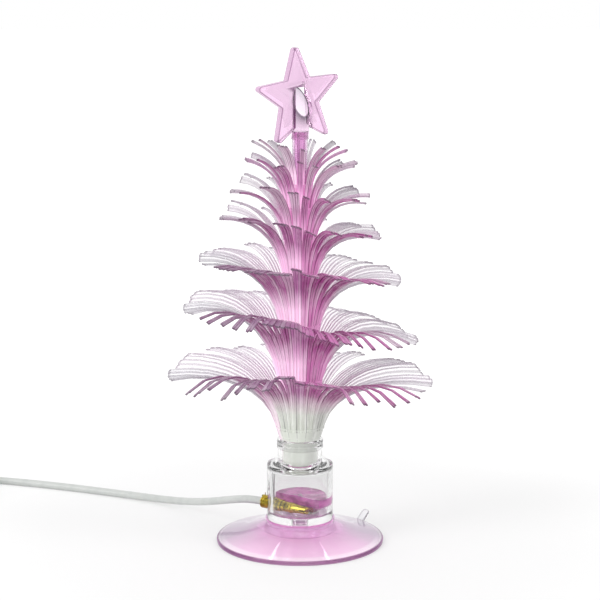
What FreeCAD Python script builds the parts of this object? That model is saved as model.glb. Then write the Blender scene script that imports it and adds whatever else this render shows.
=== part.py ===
import FreeCAD, Part
import math
import os

from FreeCAD import Vector

# Tabletop fibre-spray tree lamp on a suction foot, in millimetres.
# +Z is up and the origin is on the lamp's axis, on the table.

# ---- suction foot ----
DISC_R = 30.0
RIM_H = 1.4
RIM_LAND = 1.6
CONE_SAG = 0.5
DOME_H = 3.4
SEAT_R = 12.5
SEAT_Z = 8.0
SEAT_STEP = 0.9
NUB_R = 2.6
NUB_HEAD_R = 3.4
NUB_HEAD_H = 1.0
NUB_NECK_H = 1.3
TAB_W = 3.2
TAB_L = 4.6
TAB_T = 1.0
TAB_AZIMUTH = 40.0
TAB_RISE = 46.0
TURN_FIT = 0.08

# ---- clear cup ----
CUP_R = 11.8
CUP_WALL = 1.9
CUP_FLOOR = 2.7
CUP_H = 19.4
CUP_EDGE = 1.2
SHOULDER_RISE = 1.8
NECK_R = 7.9
NECK_H = 8.8
BEAD_R = 8.25
BEAD_PITCH = 1.8
BEAD_LAND = 0.6
BEAD_COUNT = 2

# ---- potted light inside the cup ----
BLOCK_H = 7.3
BLOCK_GAP = 0.05
BLOCK_WALL = 0.8
POCKET_GAP = 0.1
BOARD_R = 6.8
BOARD_T = 0.8
BOARD_LIFT = 0.4
LED_R = 1.5
LED_FLANGE_R = 1.9
LED_FLANGE_H = 1.0
LED_H = 5.2
LED_NOSE_H = 1.2
RESISTOR_R = 0.85
RESISTOR_L = 3.4
RESISTOR_LEG_W = 0.5
RESISTOR_PLACE = 4.2
RESISTOR_LIFT = 1.2

# ---- lead fitting through the cup's wall ----
LEAD_Z = 13.5
LEAD_OFFSET = 5.3
LEAD_AZIMUTH = -36.9
LEAD_BACK = -12.5
BINDING_L = 4.4
BINDING_R = 2.35
BINDING_TURNS = 5
BINDING_GROOVE = 0.25
BINDING_LAND = 0.65
BINDING_END_W = 0.45
BINDING_END_L = 2.0
SLEEVE_R = 1.85
CRIMP_L = 4.9
CRIMP_R = 2.25
CRIMP_SMALL_R = 1.9
CRIMP_RIBS = 3
CRIMP_LAND = 0.5
CRIMP_GROOVE = 0.22
BARREL_L = 4.1
BARREL_R = 1.6
BARREL_BORE = 1.0
TIP_L = 6.2
TIP_R = 0.95
TIP_TAPER_L = 3.2
TIP_SLOT = 0.8
TIP_SLOT_L = 2.8
TIP_SPIGOT = 1.5
SEAT_FIT = 0.05
WALL_FIT = 0.06
FITTING_GAP = 0.15
WIRE_W = 0.55
WIRE_PITCH = 0.9
WIRE_IN = 1.7

# ---- tree: light stalk, stem tube and sprays ----
STALK_R = 5.2
STALK_FOOT_R = 5.9
STALK_FOOT_H = 1.2
STALK_TOP = 46.0
STALK_SOCKET = 4.0
SHANK_R = 6.35
SHANK_L = 9.8
SEAT_H = 1.2
STEM_R = 2.7
STEM_WALL = 0.75
STEM_L = 105.6
STEM_FIT = 0.05
SHANK_WALL = 1.1
ROOT_WALL = 1.3
ROOT_FLOOR = 2.0
FIBRE_W = 1.0
FIBRE_T = 0.8
FIBRE_GAP = 0.08
BLADE_FIBRES = (2, 2, 3, 2, 1, 3, 2, 2)
BLADE_STATIONS = 4
BLADE_ROOT = 1.2
FRONT_REACH = 0.68
BACK_REACH = 0.63
BACK_RISE = 2.8
SIDE_SWEEP = 1.5
FRONT_TRIM = 0.30
FRONT_FLARE = 2.0
BACK_FLARE = 3.0
FINGER_SINE = -0.2
TIER_FLARE = (1.0, 1.0, 0.9, 0.6, 0.4, 0.3, 0.3)
JITTER = 0.16

# Each spray: fibres, root radius and height, the two heights and one radius that bend the
# curve, reach and height of the side tips, lean to one side, lift in front and lift behind.
SPRAYS = (
    dict(fibres=48, root=(7.6, 38), knee=52, bend=(22, 63), tip=(48.5, 59), lean=2, lift=5, back=6),
    dict(fibres=44, root=(6.5, 50), knee=70, bend=(18, 87), tip=(42.6, 78.5), lean=6, lift=2, back=5),
    dict(fibres=40, root=(6, 72), knee=89, bend=(17, 102), tip=(36.5, 98.4), lean=3.2, lift=2, back=4),
    dict(fibres=34, root=(5, 90), knee=105, bend=(13, 116.5), tip=(29.2, 114.1), lean=3.9, lift=2, back=3.5),
    dict(fibres=30, root=(4.7, 104), knee=116, bend=(11, 127), tip=(24.8, 125.9), lean=2.3, lift=2, back=3),
    dict(fibres=26, root=(4.2, 115), knee=126, bend=(9, 135), tip=(20.2, 136.1), lean=1.3, lift=1.5, back=2),
    dict(fibres=22, root=(3.5, 124), knee=134, bend=(8.6, 140), tip=(17.1, 142.8), lean=1.2, lift=1, back=1),
)

# ---- star on top ----
STAR_R = 18.4
STAR_INNER_R = 8.2
STAR_T = 3.0
STAR_TIP_R = 1.1
STAR_TURN = 35.0
STAR_LEAN = 5.3
STAR_RISE = 11.7
STAR_SHIFT = -0.7
SOCKET_WALL = 0.4
SOCKET_GRIP = 2.7
SOCKET_TOP = 15.4
SOCKET_SLANT = 10.5
SLIT_W = 1.2
SLIT_L = 6.2
SLIT_ANGLE = 70.0

# ---- lead ----
CORD_R = 1.4
CORD_IN = 3.0
COIL_CENTRE = (-145.1, 55.2)
COIL_OUTER_R = 24.0
COIL_INNER_R = 8.4
COIL_LAYERS = 2
# The route in plan and height: out of the fitting, down to the table and along it.
CORD_ROUTE = (
    (-17.5, 6.5, 13.5),
    (-25.2, 13.9, 10.9),
    (-35.0, 27.0, 6.0),
    (-47.5, 41.0, 2.1),
    (-70.0, 53.6, 1.4),
    (-104.0, 67.6, 1.4),
    (-137.0, 76.6, 1.4),
)

# ---- plug on the lead ----
PLUG_W = 16.0
PLUG_H = 8.0
PLUG_L = 22.0
PLUG_EDGE = 1.6
RELIEF_L = 16.0
RELIEF_R = 2.6
RELIEF_RIBS = 3
RELIEF_GROOVE = 0.4
RELIEF_LAND = 0.6
PLUG_SHELL_W = 12.0
PLUG_SHELL_H = 4.5
PLUG_SHELL_L = 18.7
PLUG_SHELL_T = 0.3
PLUG_SHELL_IN = 6.0
WINDOW_W = 2.5
WINDOW_L = 2.0
WINDOW_PITCH = 5.2
WINDOW_BACK = 6.0
TONGUE_H = 1.9
TONGUE_SHORT = 0.6
CONTACT_W = 1.0
CONTACT_T = 0.25
CONTACT_L = 8.0
CONTACT_PLACES = (-3.5, -1.0, 1.0, 3.5)

# ---- places worked out from the sizes above ----
FLOOR_TOP = SEAT_Z + CUP_FLOOR
SHOULDER_Z = SEAT_Z + CUP_H
NECK_Z = SHOULDER_Z + SHOULDER_RISE
MOUTH_Z = NECK_Z + NECK_H
CAVITY_R = CUP_R - CUP_WALL
NECK_BORE = SHANK_R + TURN_FIT
BLOCK_R = CAVITY_R - BLOCK_GAP
BLOCK_TOP = FLOOR_TOP + BLOCK_H
BOARD_Z = FLOOR_TOP + BOARD_LIFT
BOARD_TOP = BOARD_Z + BOARD_T
BLOCK_FACE = LEAD_OFFSET - BINDING_R - FITTING_GAP
POCKET_R = BOARD_R + POCKET_GAP
POCKET_FACE = BLOCK_FACE - BLOCK_WALL
LEAD_FRONT = LEAD_BACK + BINDING_L + CRIMP_L + BARREL_L
WIRE_SPLIT = LEAD_FRONT + TIP_L - TIP_SLOT_L / 2
SHANK_FOOT = MOUTH_Z - SHANK_L
STALK_FOOT = SHANK_FOOT - STALK_FOOT_H
STEM_FOOT = STALK_TOP - STALK_SOCKET
STEM_TOP = STEM_FOOT + STEM_L
SOCKET_FOOT = STEM_TOP - SOCKET_GRIP
SOCKET_R = STEM_R + STEM_FIT + SOCKET_WALL
SOCKET_TOP_Z = STEM_TOP + SOCKET_TOP
STAR_Z = STEM_TOP + STAR_RISE
GRIP_END = RELIEF_L + PLUG_L
SHELL_FOOT = GRIP_END - PLUG_SHELL_IN
SHELL_END = GRIP_END + PLUG_SHELL_L
TONGUE_LOW = PLUG_SHELL_T - PLUG_SHELL_H / 2
PLUG_AT = Vector(COIL_CENTRE[0] - COIL_OUTER_R + CORD_R, COIL_CENTRE[1] - COIL_OUTER_R / 3, PLUG_H / 2)

X_AXIS = Vector(1, 0, 0)
Y_AXIS = Vector(0, 1, 0)
Z_AXIS = Vector(0, 0, 1)
ORIGIN = Vector(0, 0, 0)


def polar(radius, degrees, z=0.0):
    a = math.radians(degrees)
    return Vector(radius * math.cos(a), radius * math.sin(a), z)


def face_of(points):
    """A flat face round a list of points."""
    loop = list(points) + [points[0]]
    return Part.Face(Part.makePolygon(loop))


def turned(profile):
    """A solid turned about Z from (radius, height) pairs."""
    points = [Vector(r, 0, z) for r, z in profile]
    return face_of(points).revolve(ORIGIN, Z_AXIS, 360)


def ribs(z, pitch, crests, groove, land):
    """Outline points of square ribs side by side, each with its groove above it."""
    points = []
    for i, crest in enumerate(crests):
        foot = z + pitch * i
        edge = foot + pitch * land
        points += [(crest, foot), (crest, edge), (crest - groove, edge), (crest - groove, foot + pitch)]
    return points


def box(low, high):
    """A block between two opposite corners."""
    size = Vector(*high) - Vector(*low)
    return Part.makeBox(size.x, size.y, size.z, Vector(*low))


def save(shape, node):
    if shape.ShapeType == "Compound" and len(shape.Solids) == 1:
        shape = shape.Solids[0]
    if not shape.isValid():
        raise ValueError(node + " isn't a valid solid")
    shape.exportStep(os.path.join("parts", node + ".step"))


# ---------------------------------------------------------------- tubes and the cord


def corner_arcs(points):
    """For each inner point of a route: where its arc starts, its middle and its end, and its radius."""
    arcs = []
    for before, at, after in zip(points, points[1:], points[2:]):
        back, ahead = before - at, after - at
        shorter = min(back.Length, ahead.Length)
        half_turn = (math.pi - back.getAngle(ahead)) / 2
        radius = 0.45 * shorter / math.tan(half_turn)
        back.normalize()
        ahead.normalize()
        start, end = at + back * (0.45 * shorter), at + ahead * (0.45 * shorter)
        inward = back + ahead
        inward.normalize()
        middle = at + inward * (radius / math.cos(half_turn) - radius)
        arcs.append((start, middle, end, radius))
    return arcs


def route_wire(points):
    """Straight runs joined by tangent arcs, as one wire, and the arcs' radii."""
    edges, radii, here = [], [], points[0]
    for start, middle, end, radius in corner_arcs(points):
        edges.append(Part.LineSegment(here, start).toShape())
        edges.append(Part.Arc(start, middle, end).toShape())
        radii.append(radius)
        here = end
    edges.append(Part.LineSegment(here, points[-1]).toShape())
    return Part.Wire(edges), radii


def tube(points, radius):
    wire, radii = route_wire(points)
    circle = Part.makeCircle(radius, points[0], points[1] - points[0])
    solid = wire.makePipeShell([Part.Wire([circle])], True, False)
    wanted = math.pi * radius**2 * wire.Length
    if abs(solid.Volume - wanted) > 0.01 * wanted:
        raise ValueError("the tube's volume doesn't match its length")
    return solid, radii, wire.Length


# ---------------------------------------------------------------- suction foot


def suction_disc():
    """Thin coned disc on its rim, with a step that seats the cup and a button that holds it."""
    step_z = SEAT_Z - SEAT_STEP
    neck_top = SEAT_Z + NUB_NECK_H + TURN_FIT
    inner_r = DISC_R - RIM_LAND
    hollow = [(inner_r, 0), (SEAT_R, DOME_H), (0, DOME_H)]
    disc = turned([
        (0, SEAT_Z + NUB_NECK_H + NUB_HEAD_H),
        (NUB_HEAD_R, SEAT_Z + NUB_NECK_H + NUB_HEAD_H),
        (NUB_HEAD_R, neck_top),
        (NUB_R, neck_top),
        (NUB_R, SEAT_Z),
        (SEAT_R, SEAT_Z),
        (SEAT_R, step_z),
        ((SEAT_R + DISC_R) / 2, (step_z + RIM_H) / 2 - CONE_SAG),
        (DISC_R, RIM_H),
        (DISC_R, 0),
    ] + hollow)
    return disc.fuse(pull_tab()).removeSplitter()


def pull_tab():
    """Small lifting tongue with a round end, rising from the rim."""
    tab = box((0, -TAB_W / 2, 0), (TAB_L + RIM_LAND, TAB_W / 2, TAB_T))
    ends = [e for e in tab.Edges if e.Length < TAB_T * 1.01 and e.CenterOfMass.x > TAB_L]
    tab = tab.makeFillet(TAB_W * 0.42, ends)
    tab.rotate(ORIGIN, Y_AXIS, -TAB_RISE)
    tab.translate(Vector(DISC_R - RIM_LAND, 0, 0.15))
    tab.rotate(ORIGIN, Z_AXIS, TAB_AZIMUTH)
    return tab


# ---------------------------------------------------------------- cup and light


def base_cup():
    """Clear round cup with a thick floor, a sloped shoulder and a beaded neck."""
    lowest = MOUTH_Z - BEAD_COUNT * BEAD_PITCH
    beads = ribs(lowest, BEAD_PITCH, [BEAD_R] * BEAD_COUNT, BEAD_R - NECK_R, BEAD_LAND)
    head_floor = SEAT_Z + NUB_NECK_H
    cup = turned([
        (CUP_R, SEAT_Z),
        (CUP_R, SHOULDER_Z - CUP_EDGE),
        (CUP_R - CUP_EDGE, SHOULDER_Z),
        (NECK_R, NECK_Z),
        (NECK_R, lowest),
    ] + beads + [
        (NECK_BORE, MOUTH_Z),
        (NECK_BORE, SHOULDER_Z - CUP_EDGE),
        (CAVITY_R, SHOULDER_Z - CUP_EDGE),
        (CAVITY_R, FLOOR_TOP),
        (NUB_HEAD_R + TURN_FIT, FLOOR_TOP),
        (NUB_HEAD_R + TURN_FIT, head_floor),
        (NUB_R + TURN_FIT, head_floor),
        (NUB_R + TURN_FIT, SEAT_Z),
    ])
    drill = Part.makeCylinder(BINDING_R + WALL_FIT, CUP_R)
    return cup.cut(along_lead(drill, LEAD_BACK - CUP_R / 2))


def by_lead(shape):
    """Turns a shape made with the fitting along +X, at y = -LEAD_OFFSET, into place."""
    turned_shape = shape.copy()
    turned_shape.rotate(ORIGIN, Z_AXIS, LEAD_AZIMUTH)
    return turned_shape


def lead_point(s):
    """The point on the fitting's axis, s along it from its nearest place to the lamp's axis."""
    return polar(LEAD_OFFSET, LEAD_AZIMUTH - 90, LEAD_Z) + polar(s, LEAD_AZIMUTH)


def along_lead(shape, s):
    """Lays a shape made up +Z along the fitting's axis, its foot at s."""
    moved = shape.copy()
    moved.Placement = FreeCAD.Placement(lead_point(s), FreeCAD.Rotation(Z_AXIS, polar(1, LEAD_AZIMUTH)))
    return moved


def with_chord(radius, low, high, face):
    """A disc between two heights, flat on the side that faces the fitting."""
    disc = Part.makeCylinder(radius, high - low, Vector(0, 0, low))
    beside = box((-radius - 1, -radius - 1, low - 1), (radius + 1, -face, high + 1))
    return disc.cut(by_lead(beside))


def led_board():
    return with_chord(BOARD_R, BOARD_Z, BOARD_TOP, POCKET_FACE - POCKET_GAP)


def rgb_led():
    """Round-nosed light with its flange, standing on the board."""
    top = BOARD_TOP + LED_H
    return turned([
        (0, BOARD_TOP),
        (LED_FLANGE_R, BOARD_TOP),
        (LED_FLANGE_R, BOARD_TOP + LED_FLANGE_H),
        (LED_R, BOARD_TOP + LED_FLANGE_H),
        (LED_R, top - LED_NOSE_H),
        (LED_R * 0.6, top),
        (0, top),
    ])


def resistor():
    """Small round resistor on two bent legs, beside the light."""
    z = BOARD_TOP + RESISTOR_LIFT
    half = RESISTOR_L / 2
    leg = RESISTOR_LEG_W / 2
    body = Part.makeCylinder(RESISTOR_R, RESISTOR_L, Vector(-half, RESISTOR_PLACE, z), X_AXIS)
    reach = half + 4 * leg
    wire = box((-reach, RESISTOR_PLACE - leg, z - leg), (reach, RESISTOR_PLACE + leg, z + leg))
    for side in (-1, 1):
        x = side * (reach - leg)
        post = box((x - leg, RESISTOR_PLACE - leg, BOARD_TOP), (x + leg, RESISTOR_PLACE + leg, z + leg))
        wire = wire.fuse(post)
    return by_lead(body.fuse(wire).removeSplitter())


def lead_wires():
    """The pair of wires from the split tip, sideways into the block and down to the board."""
    half = WIRE_W / 2
    start, bend = -LEAD_OFFSET, WIRE_IN - BLOCK_FACE
    outline = [
        (start, LEAD_Z - half),
        (start, LEAD_Z + half),
        (bend + half, LEAD_Z + half),
        (bend + half, BOARD_TOP),
        (bend - half, BOARD_TOP),
        (bend - half, LEAD_Z - half),
    ]
    wires = []
    for side in (-0.5, 0.5):
        x = WIRE_SPLIT + side * WIRE_PITCH - half
        wire = face_of([Vector(x, y, z) for y, z in outline]).extrude(Vector(WIRE_W, 0, 0))
        wires.append(by_lead(wire))
    return Part.makeCompound(wires)


def potting_block():
    """Resin fill on the cup's floor, hollow round the board, with a window for the wires."""
    block = with_chord(BLOCK_R, FLOOR_TOP, BLOCK_TOP, BLOCK_FACE)
    pocket = with_chord(POCKET_R, BOARD_Z, BOARD_TOP + LED_H + POCKET_GAP, POCKET_FACE)
    across = (WIRE_PITCH + WIRE_W) / 2 + POCKET_GAP
    up = WIRE_W / 2 + POCKET_GAP
    window = box(
        (WIRE_SPLIT - across, -BLOCK_FACE - 1, LEAD_Z - up),
        (WIRE_SPLIT + across, -POCKET_FACE + 1, LEAD_Z + up),
    )
    return block.cut(pocket).cut(by_lead(window))


# ---------------------------------------------------------------- brass lead fitting


def lead_binding():
    """Wire wound side by side round the sleeve, with its cut end standing out."""
    pitch = BINDING_L / BINDING_TURNS
    bore = SLEEVE_R + SEAT_FIT
    turns = ribs(0, pitch, [BINDING_R] * BINDING_TURNS, BINDING_GROOVE, BINDING_LAND)
    coil = turned(turns + [(bore, BINDING_L), (bore, 0)])
    half = BINDING_END_W / 2
    at = LEAD_BACK + pitch
    end = box(
        (at - half, -LEAD_OFFSET - half, LEAD_Z + bore + half),
        (at + half, -LEAD_OFFSET + half, LEAD_Z + bore + BINDING_END_L),
    )
    return along_lead(coil, LEAD_BACK).fuse(by_lead(end))


def lead_ferrule():
    """Turned sleeve for the cord, ribbed crimp and plain barrel, in one piece."""
    crests = [CRIMP_R + (CRIMP_SMALL_R - CRIMP_R) * i / (CRIMP_RIBS - 1) for i in range(CRIMP_RIBS)]
    crimp = ribs(BINDING_L, CRIMP_L / CRIMP_RIBS, crests, CRIMP_GROOVE, CRIMP_LAND)
    front = BINDING_L + CRIMP_L + BARREL_L
    ferrule = turned([(CORD_R + SEAT_FIT, 0), (SLEEVE_R, 0), (SLEEVE_R, BINDING_L)] + crimp + [
        (BARREL_R, BINDING_L + CRIMP_L),
        (BARREL_R, front),
        (BARREL_BORE, front),
        (BARREL_BORE, CORD_IN + SEAT_FIT),
        (CORD_R + SEAT_FIT, CORD_IN + SEAT_FIT),
    ])
    return along_lead(ferrule, LEAD_BACK)


def lead_tip():
    """Tapered tip with a spigot in the barrel and a slot across its nose."""
    spigot_r = BARREL_BORE - SEAT_FIT
    tip = turned([
        (0, -TIP_SPIGOT),
        (spigot_r, -TIP_SPIGOT),
        (spigot_r, 0),
        (BARREL_R, 0),
        (TIP_R, TIP_TAPER_L),
        (TIP_R, TIP_L),
        (0, TIP_L),
    ])
    slot = box(
        (LEAD_FRONT + TIP_L - TIP_SLOT_L, -LEAD_OFFSET - 2 * TIP_R, LEAD_Z - TIP_SLOT / 2),
        (LEAD_FRONT + TIP_L + 1, -LEAD_OFFSET + 2 * TIP_R, LEAD_Z + TIP_SLOT / 2),
    )
    return along_lead(tip, LEAD_FRONT).cut(by_lead(slot))


# ---------------------------------------------------------------- stalk, stem and sprays


def light_stalk():
    """Frosted light guide, with a foot flange below and a socket for the stem above."""
    return turned([
        (0, STALK_FOOT),
        (STALK_FOOT_R, STALK_FOOT),
        (STALK_FOOT_R, SHANK_FOOT),
        (STALK_R, SHANK_FOOT),
        (STALK_R, STALK_TOP),
        (STEM_R + STEM_FIT, STALK_TOP),
        (STEM_R + STEM_FIT, STEM_FOOT),
        (0, STEM_FOOT),
    ])


def stem_tube():
    bore = STEM_R - STEM_WALL
    return turned([(bore, STEM_FOOT), (STEM_R, STEM_FOOT), (STEM_R, STEM_TOP), (bore, STEM_TOP)])


def spray_curve(spray, t):
    """A cubic curve from the root, up, over the crown and out to the tip, t from 0 to 1."""
    root_r, root_z = spray["root"]
    bend_r, bend_z = spray["bend"]
    tip_r, tip_z = spray["tip"]
    weights = ((1 - t) ** 3, 3 * t * (1 - t) ** 2, 3 * t * t * (1 - t), t**3)
    radius = sum(w * r for w, r in zip(weights, (root_r, root_r * 1.04, bend_r, tip_r)))
    height = sum(w * z for w, z in zip(weights, (root_z, spray["knee"], bend_z, tip_z)))
    return radius, height


def mouth_of(spray):
    """Where on the curve the root is wide enough for its fibres to part."""
    room = spray["fibres"] * (FIBRE_W + FIBRE_GAP) / (2 * math.pi)
    wanted = max(room, spray["root"][0] + ROOT_WALL / 2)
    t = 0.0
    while spray_curve(spray, t)[0] < wanted:
        t += 0.005
    return t


def hashed(i, k):
    """A fixed number from 0 to 1 for fibre i of spray k."""
    value = math.sin(i * 12.9898 + k * 78.233) * 43758.5453
    return value - math.floor(value)


def blade_run(spray, k, i, angle):
    """Where a blade starts in plan, which way it heads and how far it reaches."""
    wall_r = spray_curve(spray, mouth_of(spray))[0]
    cosine, sine = math.cos(math.radians(angle)), math.sin(math.radians(angle))
    front = max(0.0, -sine)
    depth = BACK_REACH if sine > 0 else FRONT_REACH
    tip = Vector(math.copysign(abs(cosine) ** SIDE_SWEEP, cosine), depth * sine, 0) * spray["tip"][0]
    start = Vector(cosine, sine, 0) * wall_r
    jitter = JITTER * hashed(i, k) * abs(2 * sine * cosine)
    run = (tip - start) * ((1 - FRONT_TRIM * front**6) * (1 - jitter))
    return start, run


def blade_line(spray, angle, reach):
    """Points (distance, height) of a blade from the root's wall to its tip."""
    mouth = mouth_of(spray)
    wall_r, wall_z = spray_curve(spray, mouth)
    cosine, sine = math.cos(math.radians(angle)), math.sin(math.radians(angle))
    raised = spray["back"] * min(1.0, BACK_RISE * max(0.0, sine))
    bend = spray["lift"] * max(0.0, -sine) ** 2 + raised - spray["lean"] * cosine
    line = [(0.0, wall_z - BLADE_ROOT)]
    for n in range(BLADE_STATIONS + 1):
        share = n / BLADE_STATIONS
        radius, height = spray_curve(spray, mouth + (1 - mouth) * share)
        distance = (radius - wall_r) / (spray["tip"][0] - wall_r) * reach
        line.append((distance, height + bend * share))
    return line


def offset_pair(line, n, half):
    """Points half a thickness to each side of the n-th point of a line."""
    before, after = line[max(0, n - 1)], line[min(len(line) - 1, n + 1)]
    dr, dz = after[0] - before[0], after[1] - before[1]
    size = math.hypot(dr, dz)
    r, z = line[n]
    return (r - half * dz / size, z + half * dr / size), (r + half * dz / size, z - half * dr / size)


def ribbon(line, thickness):
    """A closed outline that follows a line at a constant thickness."""
    pairs = [offset_pair(line, n, thickness / 2) for n in range(len(line))]
    return [upper for upper, _ in pairs] + [lower for _, lower in reversed(pairs)]


def plate(outline, half_width, flare):
    """A solid on an outline in the XZ plane whose two sides part evenly along X."""
    left = [Vector(x, half_width + flare * x, z) for x, z in outline]
    right = [Vector(x, -half_width - flare * x, z) for x, z in outline]
    faces = [face_of(left), face_of(right)]
    for n in range(len(outline)):
        faces.append(face_of([left[n - 1], left[n], right[n], right[n - 1]]))
    solid = Part.makeSolid(Part.makeShell(faces))
    return solid if solid.Volume > 0 else solid.reversed()


def blade(spray, k, i, angle, count):
    """One blade of fused fibres, from inside the root's wall to its square-cut tip."""
    start, run = blade_run(spray, k, i, angle)
    half_width = count * FIBRE_W / 2
    flare = FRONT_FLARE if math.sin(math.radians(angle)) < FINGER_SINE else BACK_FLARE
    flare *= TIER_FLARE[k] * half_width
    solid = plate(ribbon(blade_line(spray, angle, run.Length), FIBRE_T), half_width, flare / run.Length)
    solid.rotate(ORIGIN, Z_AXIS, math.degrees(math.atan2(run.y, run.x)))
    solid.translate(start)
    return solid


def blades(spray, k):
    """All blades of a spray, each as wide as its share of the circle at the root."""
    pieces, used, i = [], 0, 0
    step = 360.0 / spray["fibres"]
    while used < spray["fibres"]:
        count = min(BLADE_FIBRES[(i + k) % len(BLADE_FIBRES)], spray["fibres"] - used)
        angle = step * (used + (count - BLADE_FIBRES[k % len(BLADE_FIBRES)]) / 2)
        pieces.append(blade(spray, k, i, angle, count))
        used += count
        i += 1
    return pieces


def rooted(spray, bottom):
    """The round root of a spray, whose wall carries the blades, on the given bottom outline."""
    wall_r, top = spray_curve(spray, mouth_of(spray))
    inner, outer = wall_r - ROOT_WALL / 2, wall_r + ROOT_WALL / 2
    low, seat = bottom[0][1], bottom[-1][1]
    return turned([(inner, seat), (inner, top), (outer, top), (outer, low)] + bottom)


def lowest_root(spray):
    """The root that plugs into the cup's neck and stands on its mouth."""
    bore = STALK_R + SEAT_FIT
    return rooted(spray, [
        (SHANK_R, MOUTH_Z),
        (SHANK_R, SHANK_FOOT),
        (bore, SHANK_FOOT),
        (bore, MOUTH_Z + SEAT_H),
    ])


def upper_root(spray, seat_z):
    """A root whose shank goes over the stem and stands on the piece below."""
    low = spray["root"][1]
    bore = STEM_R + STEM_FIT
    return rooted(spray, [
        (bore + SHANK_WALL, low),
        (bore + SHANK_WALL, seat_z),
        (bore, seat_z),
        (bore, low + ROOT_FLOOR),
    ])


def sprays():
    made, seat_z = [], STALK_TOP
    for k, spray in enumerate(SPRAYS):
        root = lowest_root(spray) if k == 0 else upper_root(spray, seat_z)
        if k > 0:
            seat_z = spray["root"][1] + ROOT_FLOOR
        made.append(root.multiFuse(blades(spray, k)).removeSplitter())
    return made


# ---------------------------------------------------------------- star


def star_frame(shape, lean):
    """Turns a shape made in the XZ plane about (0, 0, 0) into the star's own place."""
    moved = shape.copy()
    moved.rotate(ORIGIN, Y_AXIS, -lean)
    moved.translate(Vector(STAR_SHIFT if lean else 0, 0, STAR_Z))
    moved.rotate(ORIGIN, Z_AXIS, STAR_TURN)
    return moved


def star_outline():
    points = []
    for n in range(10):
        radius = STAR_R + STAR_TIP_R if n % 2 == 0 else STAR_INNER_R
        a = math.radians(90 + 36 * n)
        points.append(Vector(radius * math.cos(a), -STAR_T / 2, radius * math.sin(a)))
    return points


def star():
    """Flat five-point star with round tips, cut to fit round its socket, and a slit above it."""
    plate = face_of(star_outline()).extrude(Vector(0, STAR_T, 0))
    tips = [
        e for e in plate.Edges
        if abs(e.Length - STAR_T) < 0.01 and math.hypot(e.CenterOfMass.x, e.CenterOfMass.z) > STAR_R
    ]
    plate = plate.makeFillet(STAR_TIP_R, tips)
    slit = box((0, -STAR_T, -SLIT_W / 2), (SLIT_L, STAR_T, SLIT_W / 2))
    slit.rotate(ORIGIN, Y_AXIS, -SLIT_ANGLE)
    plate = star_frame(plate, STAR_LEAN).cut(star_frame(slit, 0))
    room = Part.makeCylinder(SOCKET_R + SEAT_FIT, 2 * STAR_R, Vector(0, 0, SOCKET_TOP_Z - 2 * STAR_R))
    return plate.cut(room)


def star_socket():
    """Clear cap over the stem's top, its closed upper end cut at a slant."""
    top = SOCKET_TOP_Z
    cap = Part.makeCylinder(SOCKET_R, top - SOCKET_FOOT, Vector(0, 0, SOCKET_FOOT))
    cap = cap.cut(Part.makeCylinder(STEM_R + STEM_FIT, SOCKET_GRIP, Vector(0, 0, SOCKET_FOOT)))
    low = top - SOCKET_SLANT
    wedge = face_of([
        Vector(-2 * SOCKET_R, -SOCKET_R, low),
        Vector(-2 * SOCKET_R, SOCKET_R, top),
        Vector(-2 * SOCKET_R, SOCKET_R, top + SOCKET_R),
        Vector(-2 * SOCKET_R, -2 * SOCKET_R, top + SOCKET_R),
        Vector(-2 * SOCKET_R, -2 * SOCKET_R, low),
    ]).extrude(Vector(4 * SOCKET_R, 0, 0))
    wedge.rotate(ORIGIN, Z_AXIS, STAR_TURN)
    return cap.cut(wedge)


# ---------------------------------------------------------------- lead and plug


def cord_run():
    start = lead_point(LEAD_BACK + CORD_IN)
    points = [start] + [Vector(*p) for p in CORD_ROUTE]
    solid, radii, length = tube(points, CORD_R)
    print("cord radii, mm:", [round(r, 1) for r in radii], "length", round(length, 1))
    return solid


def cord_coil():
    """The outer shape of the neat coil that holds the rest of the lead."""
    height = COIL_LAYERS * 2 * CORD_R
    ring = turned([
        (COIL_INNER_R, 0),
        (COIL_OUTER_R, 0),
        (COIL_OUTER_R, height),
        (COIL_INNER_R, height),
    ])
    ring.translate(Vector(COIL_CENTRE[0], COIL_CENTRE[1], 0))
    return ring


def in_plug(shape):
    """Lays a plug piece, made along +Z with its height along Y, at the end of the coil."""
    moved = shape.copy()
    moved.rotate(ORIGIN, X_AXIS, 90)
    moved.translate(PLUG_AT)
    return moved


def slab(width, height, low_z, high_z, low_y=None):
    """A block on the plug's axis, or standing on low_y."""
    low = -height / 2 if low_y is None else low_y
    return box((-width / 2, low, low_z), (width / 2, low + height, high_z))


def plug_grip():
    """Moulded grip with its ribbed strain relief."""
    grip = slab(PLUG_W, PLUG_H, RELIEF_L, GRIP_END)
    grip = grip.makeChamfer(PLUG_EDGE, grip.Edges)
    thin = CORD_R * 1.3
    crests = [thin + (RELIEF_R - thin) * (i + 1) / RELIEF_RIBS for i in range(RELIEF_RIBS)]
    relief = ribs(0, RELIEF_L / RELIEF_RIBS, crests, RELIEF_GROOVE, RELIEF_LAND)
    bore = CORD_R + SEAT_FIT
    relief = turned([(bore, 0)] + relief + [
        (RELIEF_R - RELIEF_GROOVE, RELIEF_L + PLUG_EDGE),
        (0, RELIEF_L + PLUG_EDGE),
        (0, RELIEF_L / 2),
        (bore, RELIEF_L / 2),
    ])
    socket = slab(PLUG_SHELL_W, PLUG_SHELL_H, SHELL_FOOT, GRIP_END + 1)
    return in_plug(grip.fuse(relief).cut(socket).removeSplitter())


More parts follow.
